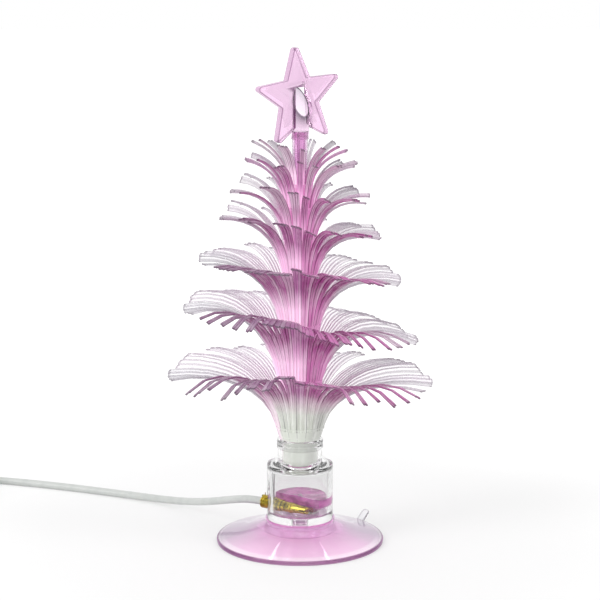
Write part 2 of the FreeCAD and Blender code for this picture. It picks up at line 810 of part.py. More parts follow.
def plug_shell():
    """Bent metal shell with four latch windows."""
    shell = slab(PLUG_SHELL_W, PLUG_SHELL_H, SHELL_FOOT, SHELL_END)
    inner_w, inner_h = PLUG_SHELL_W - 2 * PLUG_SHELL_T, PLUG_SHELL_H - 2 * PLUG_SHELL_T
    shell = shell.cut(slab(inner_w, inner_h, SHELL_FOOT, SHELL_END))
    window_end = SHELL_END - WINDOW_BACK
    for side in (-0.5, 0.5):
        window = slab(WINDOW_W, 2 * PLUG_SHELL_H, window_end - WINDOW_L, window_end)
        window.translate(Vector(side * WINDOW_PITCH, 0, 0))
        shell = shell.cut(window)
    return in_plug(shell)


def plug_tongue():
    """Insulating tongue on one side of the shell, with its root filling the shell's back."""
    width = PLUG_SHELL_W - 2 * PLUG_SHELL_T
    tongue = slab(width, TONGUE_H, SHELL_FOOT, SHELL_END - TONGUE_SHORT, TONGUE_LOW)
    root = slab(width, PLUG_SHELL_H - 2 * PLUG_SHELL_T, SHELL_FOOT, GRIP_END)
    return in_plug(tongue.fuse(root).removeSplitter())


def plug_contacts():
    """Four flat contact strips on the tongue."""
    front = SHELL_END - 2 * TONGUE_SHORT
    strips = []
    for place in CONTACT_PLACES:
        strip = slab(CONTACT_W, CONTACT_T, front - CONTACT_L, front, TONGUE_LOW + TONGUE_H)
        strip.translate(Vector(place, 0, 0))
        strips.append(strip)
    return in_plug(Part.makeCompound(strips))


def build():
    os.makedirs("parts", exist_ok=True)
    pieces = {
        "suction_disc": suction_disc(),
        "base_cup": base_cup(),
        "potting_block": potting_block(),
        "led_board": led_board(),
        "rgb_led": rgb_led(),
        "resistor": resistor(),
        "lead_wires": lead_wires(),
        "lead_binding": lead_binding(),
        "lead_ferrule": lead_ferrule(),
        "lead_tip": lead_tip(),
        "cord_run": cord_run(),
        "cord_coil": cord_coil(),
        "plug_grip": plug_grip(),
        "plug_shell": plug_shell(),
        "plug_tongue": plug_tongue(),
        "plug_contacts": plug_contacts(),
        "light_stalk": light_stalk(),
        "stem_tube": stem_tube(),
        "star": star(),
        "star_socket": star_socket(),
    }
    for k, spray in enumerate(sprays()):
        pieces[f"spray_{k + 1}"] = spray
    for node, shape in pieces.items():
        save(shape, node)


build()
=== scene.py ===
"""A small fiber optic lamp: seven tiers of clear pink fibres over a clear cup on a suction foot.

Sizes in the classes are millimetres. A mesh is put into metres when it is made.
"""

import logging
import math
from dataclasses import dataclass
from enum import Enum
from typing import Sequence, Union

import bmesh
import bpy
import numpy as np
from mathutils import Euler, Matrix


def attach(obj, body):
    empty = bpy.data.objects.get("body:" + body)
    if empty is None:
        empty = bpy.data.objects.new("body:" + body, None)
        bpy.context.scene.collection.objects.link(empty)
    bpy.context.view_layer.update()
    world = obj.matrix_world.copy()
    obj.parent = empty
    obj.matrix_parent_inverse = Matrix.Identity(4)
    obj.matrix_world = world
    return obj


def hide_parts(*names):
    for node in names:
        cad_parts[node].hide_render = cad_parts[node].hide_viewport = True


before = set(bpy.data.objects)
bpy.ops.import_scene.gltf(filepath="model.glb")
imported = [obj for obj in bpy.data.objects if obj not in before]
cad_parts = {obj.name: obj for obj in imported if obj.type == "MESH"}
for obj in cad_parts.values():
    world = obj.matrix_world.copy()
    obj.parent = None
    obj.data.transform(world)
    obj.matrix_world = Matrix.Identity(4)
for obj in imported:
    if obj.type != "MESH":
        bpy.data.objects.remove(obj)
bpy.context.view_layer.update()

MM = 0.001
WELD = 2e-6
WHITE = (1.0, 1.0, 1.0)
BLACK = (0.0, 0.0, 0.0)
log = logging.getLogger("lamp")
RGB = tuple[float, float, float]
Span = tuple[float, float]
Numbers = Union[np.ndarray, float]
Part = Union["Value", float, tuple]


class Body(Enum):
    """The bodies that a piece can ride on."""

    BASE = "base"
    FOOT = "foot"
    TREE = "tree"
    TOPPER = "topper"


# ---------------------------------------------------------------- colours and shader maths


def linear(red: float, green: float, blue: float) -> RGB:
    """Turns a colour written 0 to 255 as seen on a screen into linear light.

    Args:
        red: Red, 0 to 255.
        green: Green, 0 to 255.
        blue: Blue, 0 to 255.

    Returns:
        The colour in linear light, 0 to 1.
    """
    seen = np.array([red, green, blue]) / 255.0
    return tuple(float(c) for c in np.where(seen < 0.04045, seen / 12.92, ((seen + 0.055) / 1.055) ** 2.4))


def grey(level: float) -> RGB:
    """A neutral colour in linear light."""
    return (level, level, level)


def weigh(mask: Numbers, first: Union[np.ndarray, RGB], second: Union[np.ndarray, RGB]) -> np.ndarray:
    """Goes from the first colours to the second as the mask goes from 0 to 1.

    Args:
        mask: Any shape of numbers, clipped to 0 to 1.
        first: Colours where the mask is 0, the last axis red, green, blue.
        second: Colours where the mask is 1.

    Returns:
        The mixed colours, in the mask's shape with one axis more.
    """
    share = np.clip(mask, 0.0, 1.0)[..., None]
    return np.asarray(first) * (1 - share) + np.asarray(second) * share


def step_up(value: Numbers, low: float, high: float) -> Numbers:
    """A smooth step: 0 below low, 1 above high, 3s2 - 2s3 of the share s between them.

    Args:
        value: The numbers to step on.
        low: Where the step starts.
        high: Where the step ends.

    Returns:
        Numbers from 0 to 1.
    """
    share = np.clip((value - low) / (high - low), 0.0, 1.0)
    return share * share * (3 - 2 * share)


class Value:
    """One output of a material's node tree. Arithmetic on it adds Math nodes."""

    def __init__(self, shader: "Shader", socket: bpy.types.NodeSocket) -> None:
        """Keeps the socket and the shader that it belongs to."""
        self.shader = shader
        self.socket = socket

    def math(self, operation: str, *others: Part) -> "Value":
        """Adds one Math node.

        Args:
            operation: The Math node's operation.
            others: The operands after this one.

        Returns:
            The node's output.
        """
        return self.shader.add("ShaderNodeMath", {"operation": operation}, dict(enumerate((self, *others))))

    def __add__(self, other: Part) -> "Value":
        """This plus the other."""
        return self.math("ADD", other)

    def __mul__(self, other: Part) -> "Value":
        """This times the other."""
        return self.math("MULTIPLY", other)

    def ramp(self, low: float, high: float, start: float = 0.0, end: float = 1.0) -> "Value":
        """A smooth step between two values.

        Args:
            low: The input where it starts.
            high: The input where it ends.
            start: The output at low.
            end: The output at high.

        Returns:
            The stepped value.
        """
        settings = {"interpolation_type": "SMOOTHSTEP"}
        return self.shader.add("ShaderNodeMapRange", settings, {0: self, 1: low, 2: high, 3: start, 4: end})


class Shader:
    """A material's node tree, with one method that adds any node."""

    def __init__(self, name: str) -> None:
        """Starts a material with only its Principled shader and output."""
        self.material = bpy.data.materials.new(name)
        self.material.use_nodes = True
        self.tree = self.material.node_tree
        self.surface = self.tree.nodes["Principled BSDF"]

    def plug(self, node: bpy.types.Node, inputs: dict) -> None:
        """Sets or links a node's sockets.

        Args:
            node: The node.
            inputs: Socket name or number to a number, a colour or a Value.
        """
        for key, value in inputs.items():
            socket = node.inputs[key]
            if isinstance(value, Value):
                self.tree.links.new(value.socket, socket)
            elif isinstance(value, tuple) and len(value) == 3 and socket.type == "RGBA":
                socket.default_value = (*value, 1.0)
            else:
                socket.default_value = value

    def add(self, kind: str, settings: dict, inputs: dict, output: int = 0) -> Value:
        """Adds a node of any kind.

        Args:
            kind: The node's type.
            settings: Its settings, set first.
            inputs: What its sockets get.
            output: Which output is wanted.

        Returns:
            That output.
        """
        node = self.tree.nodes.new(kind)
        for key, value in settings.items():
            setattr(node, key, value)
        self.plug(node, inputs)
        return Value(self, node.outputs[output])

    def attribute(self, name: str, colour: bool = False) -> Value:
        """A value, or a colour, that the mesh carries at each point."""
        return self.add("ShaderNodeAttribute", {"attribute_name": name}, {}, 0 if colour else 2)

    def place(self) -> Value:
        """The point in the object's own frame, in metres."""
        return self.add("ShaderNodeTexCoord", {}, {}, 3)

    def noise(self, scale: float, detail: float = 2.0, stretch: RGB = (1.0, 1.0, 1.0)) -> Value:
        """Smooth noise from 0 to 1 on the object's own frame.

        Args:
            scale: Waves in a metre.
            detail: Octaves.
            stretch: Factors on the three axes before the noise is read.

        Returns:
            The noise.
        """
        spot = self.add("ShaderNodeMapping", {}, {"Vector": self.place(), "Scale": stretch})
        return self.add("ShaderNodeTexNoise", {}, {"Vector": spot, "Scale": scale, "Detail": detail})

    def facing(self) -> Value:
        """How much the surface turns away from the eye, for painted dark outlines of clear walls and sheets.
        """
        return self.add("ShaderNodeLayerWeight", {}, {"Blend": 0.5}, 1)

    def mix(self, mask: Part, first: Part, second: Part, blend: str = "MIX") -> Value:
        """Mixes two colours by a mask with a Mix node."""
        settings = {"data_type": "RGBA", "blend_type": blend, "clamp_factor": True}
        return self.add("ShaderNodeMix", settings, {0: mask, 6: first, 7: second}, 2)

    def bump(self, height: Value, depth: float, strength: float = 1.0) -> Value:
        """A Bump node whose height is given in metres by depth."""
        return self.add("ShaderNodeBump", {}, {"Height": height, "Distance": depth, "Strength": strength})

    def finish(self, **inputs: Part) -> bpy.types.Material:
        """Sets the Principled sockets, named with _ for a space, and gives the material."""
        self.plug(self.surface, {key.replace("_", " "): value for key, value in inputs.items()})
        return self.material


# ---------------------------------------------------------------- finishes


@dataclass(frozen=True)
class FibreFinish:
    """Clear moulded fibre: tinted sheet, painted shade in its grooves and towards its silhouette, dark cut
    ends, a painted glow.
    """

    name: str
    # painted shade: the colours of the dark lines in the grooves between fibres and in their creases
    groove: RGB = linear(122, 48, 106)
    grey_groove: RGB = linear(152, 150, 156)
    cut: RGB = linear(62, 42, 62)
    groove_span: Span = (0.04, 0.20)
    crease_span: Span = (0.02, 0.11)
    crease_depth: float = 0.5
    line_depth: float = 0.68
    painted_glow_line_loss: float = 0.34
    # painted shade: how much the sheet darkens towards its silhouette
    edge_span: Span = (0.72, 1.0)
    edge_depth: float = 0.45
    grey_edge_loss: float = 0.38
    cloud_span: Span = (0.35, 0.7)
    cloud_tint: float = 0.16
    cloud_rough: float = 0.12
    roughness: float = 0.18
    # painted glow: these three set the fibres' emission
    painted_glow_white: float = 0.8
    least_painted_glow: float = 0.45
    light: float = 0.42

    def material(self) -> bpy.types.Material:
        """Reads tint, cover, cap, grey, painted glow and the distances in mm to two kinds of groove from the
        mesh.

        rim is the distance to the groove between fibres, fold that to the crease in a fibre; both are drawn
        as painted shade.

        Returns:
            The material.
        """
        shade = Shader(self.name)
        tint = shade.attribute("tint", colour=True)
        cover = shade.attribute("cover")
        cap = shade.attribute("cap")
        # painted shade: dark lines in the grooves and creases, fainter where the mesh's glow value is high
        groove = shade.attribute("rim").ramp(*self.groove_span, 1.0, 0.0)
        crease = shade.attribute("fold").ramp(*self.crease_span, self.crease_depth, 0.0)
        grey_share = shade.attribute("grey")
        glow = shade.attribute("glow")
        line = groove.math("MAXIMUM", crease) * (glow * -self.painted_glow_line_loss + self.line_depth)
        # painted shade: the sheet darkens towards its silhouette by the facing angle
        edge_on_shade = shade.facing().ramp(*self.edge_span)
        edge_on_shade = edge_on_shade * (grey_share * -self.grey_edge_loss + self.edge_depth)
        cloud = shade.noise(420.0, 2.0, (1.0, 1.0, 0.25)).ramp(*self.cloud_span)
        colour = shade.mix(cloud * self.cloud_tint, tint, WHITE)
        dark = shade.mix(grey_share, self.groove, self.grey_groove)
        colour = shade.mix(line.math("MAXIMUM", edge_on_shade), colour, dark, "MULTIPLY")
        end = cap * (cover * 0.5 + 0.45)
        colour = shade.mix(end, colour, self.cut)
        solid = (cover + line * 0.5 + edge_on_shade * 0.5 + end).math("MINIMUM", 1.0)
        # painted glow: the fibres give out their own colour, whiter where the mesh's glow value is high
        lit = shade.mix(glow * self.painted_glow_white, colour, WHITE)
        painted_glow_share = glow * (1 - self.least_painted_glow) + self.least_painted_glow
        lit = shade.mix(painted_glow_share, BLACK, shade.mix(0.6, lit, colour))
        return shade.finish(
            Base_Color=colour, Alpha=solid, Roughness=cloud * self.cloud_rough + self.roughness, IOR=1.49,
            Emission_Color=lit, Emission_Strength=self.light, Coat_Weight=0.35, Coat_Roughness=0.08)


@dataclass(frozen=True)
class ClearFinish:
    """Clear or tinted plastic that light passes through, with a painted dark outline where its walls are
    seen edge on.
    """

    name: str
    tint: RGB
    # painted shade: the dark outline colour
    rim: RGB
    roughness: float = 0.03
    clear: float = 1.0
    bend: float = 1.2
    wave: float = 0.00002
    rim_start: float = 0.35
    # painted highlight: the colour and strength of the glow on faces that the mesh marks
    face: RGB = (0.62, 0.68, 0.66)
    face_light: float = 0.55

    def material(self) -> bpy.types.Material:
        """Puts the rim colour, a painted dark outline, where the mesh's edge value or the facing angle asks
        for it, and a painted glow where its face value does.

        Returns:
            The material.
        """
        shade = Shader(self.name)
        edge = shade.attribute("edge")
        # painted shade: dark outline by the facing angle, and where the mesh's edge value asks
        edge_on_shade = shade.facing().ramp(self.rim_start, 1.0)
        colour = shade.mix(edge_on_shade, self.tint, self.rim)
        colour = shade.mix(edge, colour, self.rim)
        ripple = shade.bump(shade.noise(160.0, 1.0), self.wave)
        # painted highlight: emission where the mesh's face value is set
        lit = shade.mix(shade.attribute("face"), BLACK, self.face)
        return shade.finish(
            Base_Color=colour, Roughness=self.roughness, Normal=ripple, IOR=self.bend,
            Transmission_Weight=self.clear, Coat_Weight=0.5, Coat_Roughness=0.03,
            Emission_Strength=self.face_light, Emission_Color=lit)


@dataclass(frozen=True)
class SoftFinish:
    """Soft clear plastic in the mesh's own tint, with painted shade where it turns away from the eye and a
    painted glow.
    """

    name: str
    deep: RGB
    edge_shade_share: float = 0.35
    clear: float = 0.85
    light: float = 0.12

    def material(self) -> bpy.types.Material:
        """Multiplies the tint by the deep colour at the edges as painted shade, with a slow ripple, and
        gives the colour out as a painted glow.

        Returns:
            The material.
        """
        shade = Shader(self.name)
        tint = shade.attribute("tint", colour=True)
        # painted shade: deeper colour towards the silhouette by the facing angle
        away = shade.facing().ramp(0.8, 1.0)
        colour = shade.mix(away * self.edge_shade_share, tint, self.deep, "MULTIPLY")
        ripple = shade.bump(shade.noise(190.0, 2.0), 0.00006, 0.8)
        # painted glow: the colour is also given out as emission
        return shade.finish(
            Base_Color=colour, Roughness=0.06, Normal=ripple, IOR=1.25, Transmission_Weight=self.clear,
            Coat_Weight=0.6, Coat_Roughness=0.03, Emission_Color=colour, Emission_Strength=self.light)


@dataclass(frozen=True)
class ResinFinish:
    """Cast resin, cloudy in two tones and wavy, thin where the mesh's cover is low, with a painted glow."""

    name: str
    pale: RGB
    deep: RGB
    light: float = 0.2

    def material(self) -> bpy.types.Material:
        """Two tones mixed by slow noise, waves by a bump, the tones also given out as a painted glow.

        Returns:
            The material.
        """
        shade = Shader(self.name)
        cloud = shade.noise(260.0, 3.0, (1.0, 1.0, 1.4)).ramp(0.38, 0.66)
        tone = shade.mix(cloud, self.pale, self.deep)
        wave = shade.bump(shade.noise(190.0, 2.0), 0.0006, 0.7)
        # painted glow: the resin gives out its own tones
        return shade.finish(
            Base_Color=tone, Alpha=shade.attribute("cover"), Roughness=0.08, Normal=wave, IOR=1.3,
            Transmission_Weight=0.12, Coat_Weight=0.4, Coat_Roughness=0.05, Emission_Color=tone,
            Emission_Strength=self.light)


@dataclass(frozen=True)
class FrostedFinish:
    """Frosted clear plastic with a little painted glow, streaked along its height."""

    name: str
    bright: RGB
    dull: RGB
    light: float = 0.12

    def material(self) -> bpy.types.Material:
        """Two tones mixed by noise that is stretched along the height.

        Returns:
            The material.
        """
        shade = Shader(self.name)
        mist = shade.noise(240.0, 2.0, (1.0, 1.0, 0.3))
        tone = shade.mix(mist, self.bright, self.dull)
        # painted glow: the tones are also given out as emission
        return shade.finish(
            Base_Color=tone, Roughness=0.35, Transmission_Weight=0.25, Emission_Color=tone,
            Emission_Strength=self.light, Coat_Weight=0.3)


@dataclass(frozen=True)
class MetalFinish:
    """Turned or drawn metal with fine lines, some tarnish in patches and painted shade in its grooves."""

    name: str
    bright: RGB
    dull: RGB
    roughness: float = 0.2
    grain: float = 3000.0
    tarnish: float = 0.8
    groove_shade_share: float = 0.3

    def material(self) -> bpy.types.Material:
        """Tarnish from slow noise, fine lines from stretched noise, painted shade in the grooves by the
        mesh's edge value.

        Returns:
            The material.
        """
        shade = Shader(self.name)
        patch = shade.noise(500.0, 4.0).ramp(0.42, 0.7)
        line = shade.noise(self.grain, 2.0, (1.0, 1.0, 0.1))
        colour = shade.mix(patch * self.tarnish, self.bright, self.dull)
        # painted shade: grooves that the mesh marks are darkened to a share of the dull colour
        groove = tuple(self.groove_shade_share * c for c in self.dull)
        colour = shade.mix(shade.attribute("edge"), colour, groove)
        return shade.finish(
            Base_Color=colour, Metallic=1.0, Roughness=patch * 0.2 + self.roughness,
            Normal=shade.bump(line, 0.00001, 0.5))


@dataclass(frozen=True)
class SolidFinish:
    """Opaque plastic or lacquer with fine mottling and a moulded surface."""

    name: str
    colour: RGB
    shadow: RGB
    roughness: float = 0.45
    grain: float = 2500.0
    depth: float = 0.00002
    coat: float = 0.0
    mottling: float = 0.8

    def material(self) -> bpy.types.Material:
        """Two close colours mixed by noise, with a fine bump.

        Returns:
            The material.
        """
        shade = Shader(self.name)
        patch = shade.noise(300.0, 3.0).ramp(0.3, 0.75)
        pit = shade.noise(self.grain, 2.0)
        colour = shade.mix(patch * self.mottling, self.colour, self.shadow)
        return shade.finish(
            Base_Color=colour, Roughness=patch * 0.1 + self.roughness,
            Normal=shade.bump(pit, self.depth, 0.4), Coat_Weight=self.coat, Coat_Roughness=0.15)


# ---------------------------------------------------------------- meshes


class Shape:
    """Grids of points, with values at each point, that together become one mesh."""

    def __init__(self, *names: str) -> None:
        """Starts an empty shape.

        Args:
            names: The values that its points carry. The one named tint is a colour.
        """
        self.points: list[np.ndarray] = []
        self.faces: list[tuple[int, ...]] = []
        self.values: dict[str, list[np.ndarray]] = {name: [] for name in names}
        self.count = 0

    def grid(
        self, points: np.ndarray, around: bool = True, closed: bool = False, ends: bool = False,
        **values: Numbers,
    ) -> "Shape":
        """Adds one grid. Cell (i, j) joins rows i, i + 1 and columns j, j + 1.

        Args:
            points: Rows by columns by 3.
            around: Whether the last column joins the first.
            closed: Whether the last row joins the first.
            ends: Whether the first and last rows are filled.
            values: For each name of the shape, one number or an array that spreads over the grid.

        Returns:
            The shape itself.
        """
        rows, columns = points.shape[:2]
        number = self.count + np.arange(rows * columns).reshape(rows, columns)
        below = np.concatenate([number, number[:1]]) if closed else number
        wide = np.concatenate([below, below[:, :1]], axis=1) if around else below
        cells = np.stack([wide[:-1, :-1], wide[:-1, 1:], wide[1:, 1:], wide[1:, :-1]], axis=-1)
        self.faces += list(map(tuple, cells.reshape(-1, 4).tolist()))
        if ends:
            self.faces += [tuple(number[0, ::-1].tolist()), tuple(number[-1].tolist())]
        self.points.append(points.reshape(-1, 3))
        for name, kept in self.values.items():
            value = np.asarray(values.get(name, 0.0), dtype=float)
            if name == "tint":
                kept.append(np.broadcast_to(value, points.shape).reshape(-1, 3))
            else:
                kept.append(np.broadcast_to(value, points.shape[:2]).reshape(-1))
        self.count += rows * columns
        return self

    def cap(self, loop: Sequence[int], first: int = 0) -> None:
        """Fills a loop of point numbers, counted from first, with one face."""
        self.faces.append(tuple(first + n for n in loop))

    def mesh(self, name: str, weld: bool = True, sharp: float = 35.0) -> bpy.types.Object:
        """Makes the object, its doubles merged, its faces outward, smooth but for sharp edges.

        Args:
            name: The piece's name.
            weld: Whether points in one place become one.
            sharp: The angle in degrees past which an edge stays sharp.

        Returns:
            The object, at the origin, in metres.
        """
        data = bpy.data.meshes.new(name)
        data.from_pydata((np.concatenate(self.points) * MM).tolist(), [], self.faces)
        for key, kept in self.values.items():
            stacked = np.concatenate(kept)
            if stacked.ndim == 2:
                layer = data.attributes.new(key, "FLOAT_COLOR", "POINT")
                layer.data.foreach_set("color", np.column_stack([stacked, np.ones(len(stacked))]).ravel())
            else:
                layer = data.attributes.new(key, "FLOAT", "POINT")
                layer.data.foreach_set("value", stacked)
        edit = bmesh.new()
        edit.from_mesh(data)
        if weld:
            bmesh.ops.remove_doubles(edit, verts=edit.verts, dist=WELD)
        bmesh.ops.recalc_face_normals(edit, faces=edit.faces)
        edit.to_mesh(data)
        edit.free()
        data.shade_smooth()
        data.set_sharp_from_angle(angle=math.radians(sharp))
        return placed(name, data)


def rounded(points: Sequence[tuple], steps: int = 4) -> np.ndarray:
    """An outline whose corners are arcs that touch both runs.

    Each point is (r, z) or (r, z, radius). An arc of that radius starts and ends radius / tan(half the
    corner's angle) from the corner and is cut into equal angles.

    Args:
        points: The outline's corners in order.
        steps: Parts of an arc.

    Returns:
        The outline's points, n by 2.
    """
    corners = np.array([p[:2] for p in points], dtype=float)
    radii = [p[2] if len(p) > 2 else 0.0 for p in points]
    line = []
    for n, radius in enumerate(radii):
        here = corners[n]
        if radius == 0.0:
            line.append(here[None])
            continue
        back = corners[n - 1] - here
        back /= np.linalg.norm(back)
        ahead = corners[(n + 1) % len(corners)] - here
        ahead /= np.linalg.norm(ahead)
        half = math.acos(float(np.clip(back @ ahead, -1, 1))) / 2
        centre = here + (back + ahead) / np.linalg.norm(back + ahead) * radius / math.sin(half)
        first = here + back * radius / math.tan(half) - centre
        last = here + ahead * radius / math.tan(half) - centre
        sweep = math.pi - 2 * half
        share = np.linspace(0, 1, steps + 1)[:, None]
        arc = np.sin((1 - share) * sweep) * first + np.sin(share * sweep) * last
        line.append(centre + arc / math.sin(sweep))
    return np.concatenate(line)


def circle(columns: int) -> np.ndarray:
    """Equal angles round a circle, in radians."""
    return np.linspace(0, 2 * math.pi, columns, endpoint=False)


def ring(r: Numbers, z: Numbers, a: np.ndarray) -> np.ndarray:
    """Points round the upright axis: (r cos a, r sin a, z)."""
    return np.stack([r * np.cos(a), r * np.sin(a), z + 0 * a], axis=-1)


def turned(plan: Sequence[np.ndarray], degrees: float) -> np.ndarray:
    """Turns x, y about the upright axis: (x cos a - y sin a, x sin a + y cos a, z).

    Args:
        plan: Three arrays of one shape, x, y and z.
        degrees: The angle a.

    Returns:
        The points, with a last axis of 3.
    """
    x, y, z = plan
    a = math.radians(degrees)
    return np.stack([x * math.cos(a) - y * math.sin(a), x * math.sin(a) + y * math.cos(a), z], axis=-1)


def lathe(profile: np.ndarray, columns: int = 96) -> np.ndarray:
    """Turns a profile round the upright axis, one ring for each of its points.

    Args:
        profile: n by 2, radius and height.
        columns: Parts of the circle.

    Returns:
        A grid, n by columns by 3.
    """
    return ring(profile[:, :1], profile[:, 1:], circle(columns))


def laid(grid: np.ndarray, origin: np.ndarray, heading: float) -> np.ndarray:
    """Lays a grid made up +Z along a level heading: z goes ahead, x up and y to the left.

    Args:
        grid: Points, the last axis x, y, z.
        origin: Where (0, 0, 0) goes.
        heading: Degrees from +X.

    Returns:
        The points in their place.
    """
    return origin + turned((grid[..., 2], grid[..., 1], grid[..., 0]), heading)


def pipe(path: np.ndarray, radius: float, columns: int) -> np.ndarray:
    """A round tube on a path: at each point a circle across the path's own direction.

    Args:
        path: n by 3, nowhere upright.
        radius: The tube's.
        columns: Parts of the circle.

    Returns:
        A grid, n by columns by 3.
    """
    ahead = np.gradient(path, axis=0)
    ahead /= np.linalg.norm(ahead, axis=1, keepdims=True)
    side = np.cross(ahead, [0.0, 0.0, 1.0])
    side /= np.linalg.norm(side, axis=1, keepdims=True)
    up = np.cross(side, ahead)
    a = circle(columns)[None, :, None]
    return path[:, None] + radius * (np.cos(a) * side[:, None] + np.sin(a) * up[:, None])


def placed(name: str, data: bpy.types.ID) -> bpy.types.Object:
    """Puts something new in the scene.

    Args:
        name: The object's name.
        data: Its mesh, curve, light or camera.

    Returns:
        The object.
    """
    made = bpy.data.objects.new(name, data)
    bpy.context.scene.collection.objects.link(made)
    return made


def cut(piece: bpy.types.Object, cutter: bpy.types.Object) -> None:
    """Takes the cutter's space out of the piece and removes the cutter.

    Args:
        piece: The object that keeps its name and gets a new mesh.
        cutter: A closed object.
    """
    tool = piece.modifiers.new("cut", "BOOLEAN")
    tool.operation = "DIFFERENCE"
    tool.solver = "EXACT"
    tool.object = cutter
    graph = bpy.context.evaluated_depsgraph_get()
    made = bpy.data.meshes.new_from_object(piece.evaluated_get(graph))
    piece.modifiers.clear()
    piece.data = made
    bpy.data.objects.remove(cutter)


class Assembly:
    """What every sub-assembly does with a finished piece."""

    def dress(
        self, piece: bpy.types.Object, body: Body, material: bpy.types.Material, slot: str, *nodes: str,
    ) -> bpy.types.Object:
        """Gives a piece its material and its body, and hides the CAD nodes that it replaces.

        Args:
            piece: The new object.
            body: What it moves with.
            material: Its finish.
            slot: The record's material slot, not used.
            nodes: The CAD nodes that it replaces.

        Returns:
            The piece.
        """
        piece.data.materials.clear()
        piece.data.materials.append(material)
        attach(piece, body.value)
        if nodes:
            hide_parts(*nodes)
        log.info("%s on %s", piece.name, body.value)
        return piece

    def finish_node(self, node: str, material: bpy.types.Material) -> None:
        """Gives a CAD node that keeps its shape a better material.

        Args:
            node: The node's name.
            material: Its finish.
        """
        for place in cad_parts[node].material_slots:
            place.material = material
        log.info("%s keeps its solid", node)


# ---------------------------------------------------------------- cord and plug


@dataclass
class Cord(Assembly):
    """The thin lead from the fitting to the coil and the plug."""

    radius: float = 1.4
    start: tuple = (-10.78, 1.46, 13.5)
    exit: tuple = (-13.18, 3.27, 13.5)
    route: tuple = (
        (-17.5, 6.5, 13.5), (-25.2, 13.9, 10.9), (-35.0, 27.0, 6.0), (-47.5, 41.0, 2.1),
        (-70.0, 53.6, 1.4), (-104.0, 67.6, 1.4), (-137.0, 76.6, 1.4),
    )
    centre: tuple = (-145.1, 55.2)
    outer: float = 22.4
    inner: float = 9.8
    start_angle: float = 76.8
    turns_down: float = 4.5
    turns_up: float = 4.787
    per_turn: int = 16
    plug_entry: tuple = (-167.7, 44.0, 4.0)
    length: float = 1095.0

    def coil(self) -> np.ndarray:
        """Two flat spirals, one on the other: r falls evenly to the inner turn, then grows back.

        The curve runs inside its control points, so these lie further out by the same share
        1 / (3/4 + cos(step) / 4) all the way.

        Returns:
            Control points, n by 3.
        """
        shrink = 0.75 + 0.25 * math.cos(2 * math.pi / self.per_turn)
        down = np.linspace(0, 1, int(self.turns_down * self.per_turn), endpoint=False)
        up = np.linspace(0, 1, int(self.turns_up * self.per_turn) + 1)
        turn = np.concatenate([down * self.turns_down, self.turns_down + up * self.turns_up])
        reach = self.outer - self.inner
        r = np.concatenate([self.outer - reach * down, self.inner + reach * up]) / shrink
        level = self.radius * (1 + 2 * step_up(turn, self.turns_down - 0.25, self.turns_down + 0.25))
        a = np.radians(self.start_angle) + 2 * math.pi * turn
        return np.stack([self.centre[0] + r * np.cos(a), self.centre[1] + r * np.sin(a), level], axis=-1)

    def build(self) -> bpy.types.Object:
        """One smooth curve from inside the fitting to inside the plug.

        Returns:
            The cord.
        """
        points = np.concatenate([[self.start], self.route, self.coil(), [self.plug_entry]])
        data = bpy.data.curves.new("cord", "CURVE")
        data.dimensions = "3D"
        data.bevel_depth = self.radius * MM
        data.bevel_resolution = 5
        data.resolution_u = 6
        data.use_fill_caps = True
        line = data.splines.new("NURBS")
        line.points.add(len(points) - 1)
        line.points.foreach_set("co", np.column_stack([points * MM, np.ones(len(points))]).ravel())
        line.order_u = 3
        line.use_endpoint_u = True
        piece = placed("cord", data)
        sheath = SolidFinish(
            "cord sheath", linear(206, 209, 206), linear(196, 200, 197), roughness=0.34, grain=900.0,
            depth=0.00001, coat=0.3)
        self.dress(piece, Body.BASE, sheath.material(), "white_cord", "cord_run", "cord_coil")
        return piece

    def build_plug(self) -> None:
        """The plug keeps its solids, each with its own finish."""
        grip = SolidFinish(
            "plug grip", linear(204, 206, 203), linear(190, 193, 190), roughness=0.5, grain=1800.0,
            depth=0.00004)
        tongue = SolidFinish(
            "plug tongue", linear(232, 231, 226), linear(220, 219, 214), roughness=0.5)
        shell = MetalFinish(
            "plug shell", linear(186, 188, 190), linear(150, 152, 156), roughness=0.28, grain=5000.0)
        contacts = MetalFinish("plug contacts", linear(214, 180, 96), linear(176, 140, 70))
        for finish in (grip, tongue, shell, contacts):
            self.finish_node(finish.name.replace(" ", "_"), finish.material())


# ---------------------------------------------------------------- studio


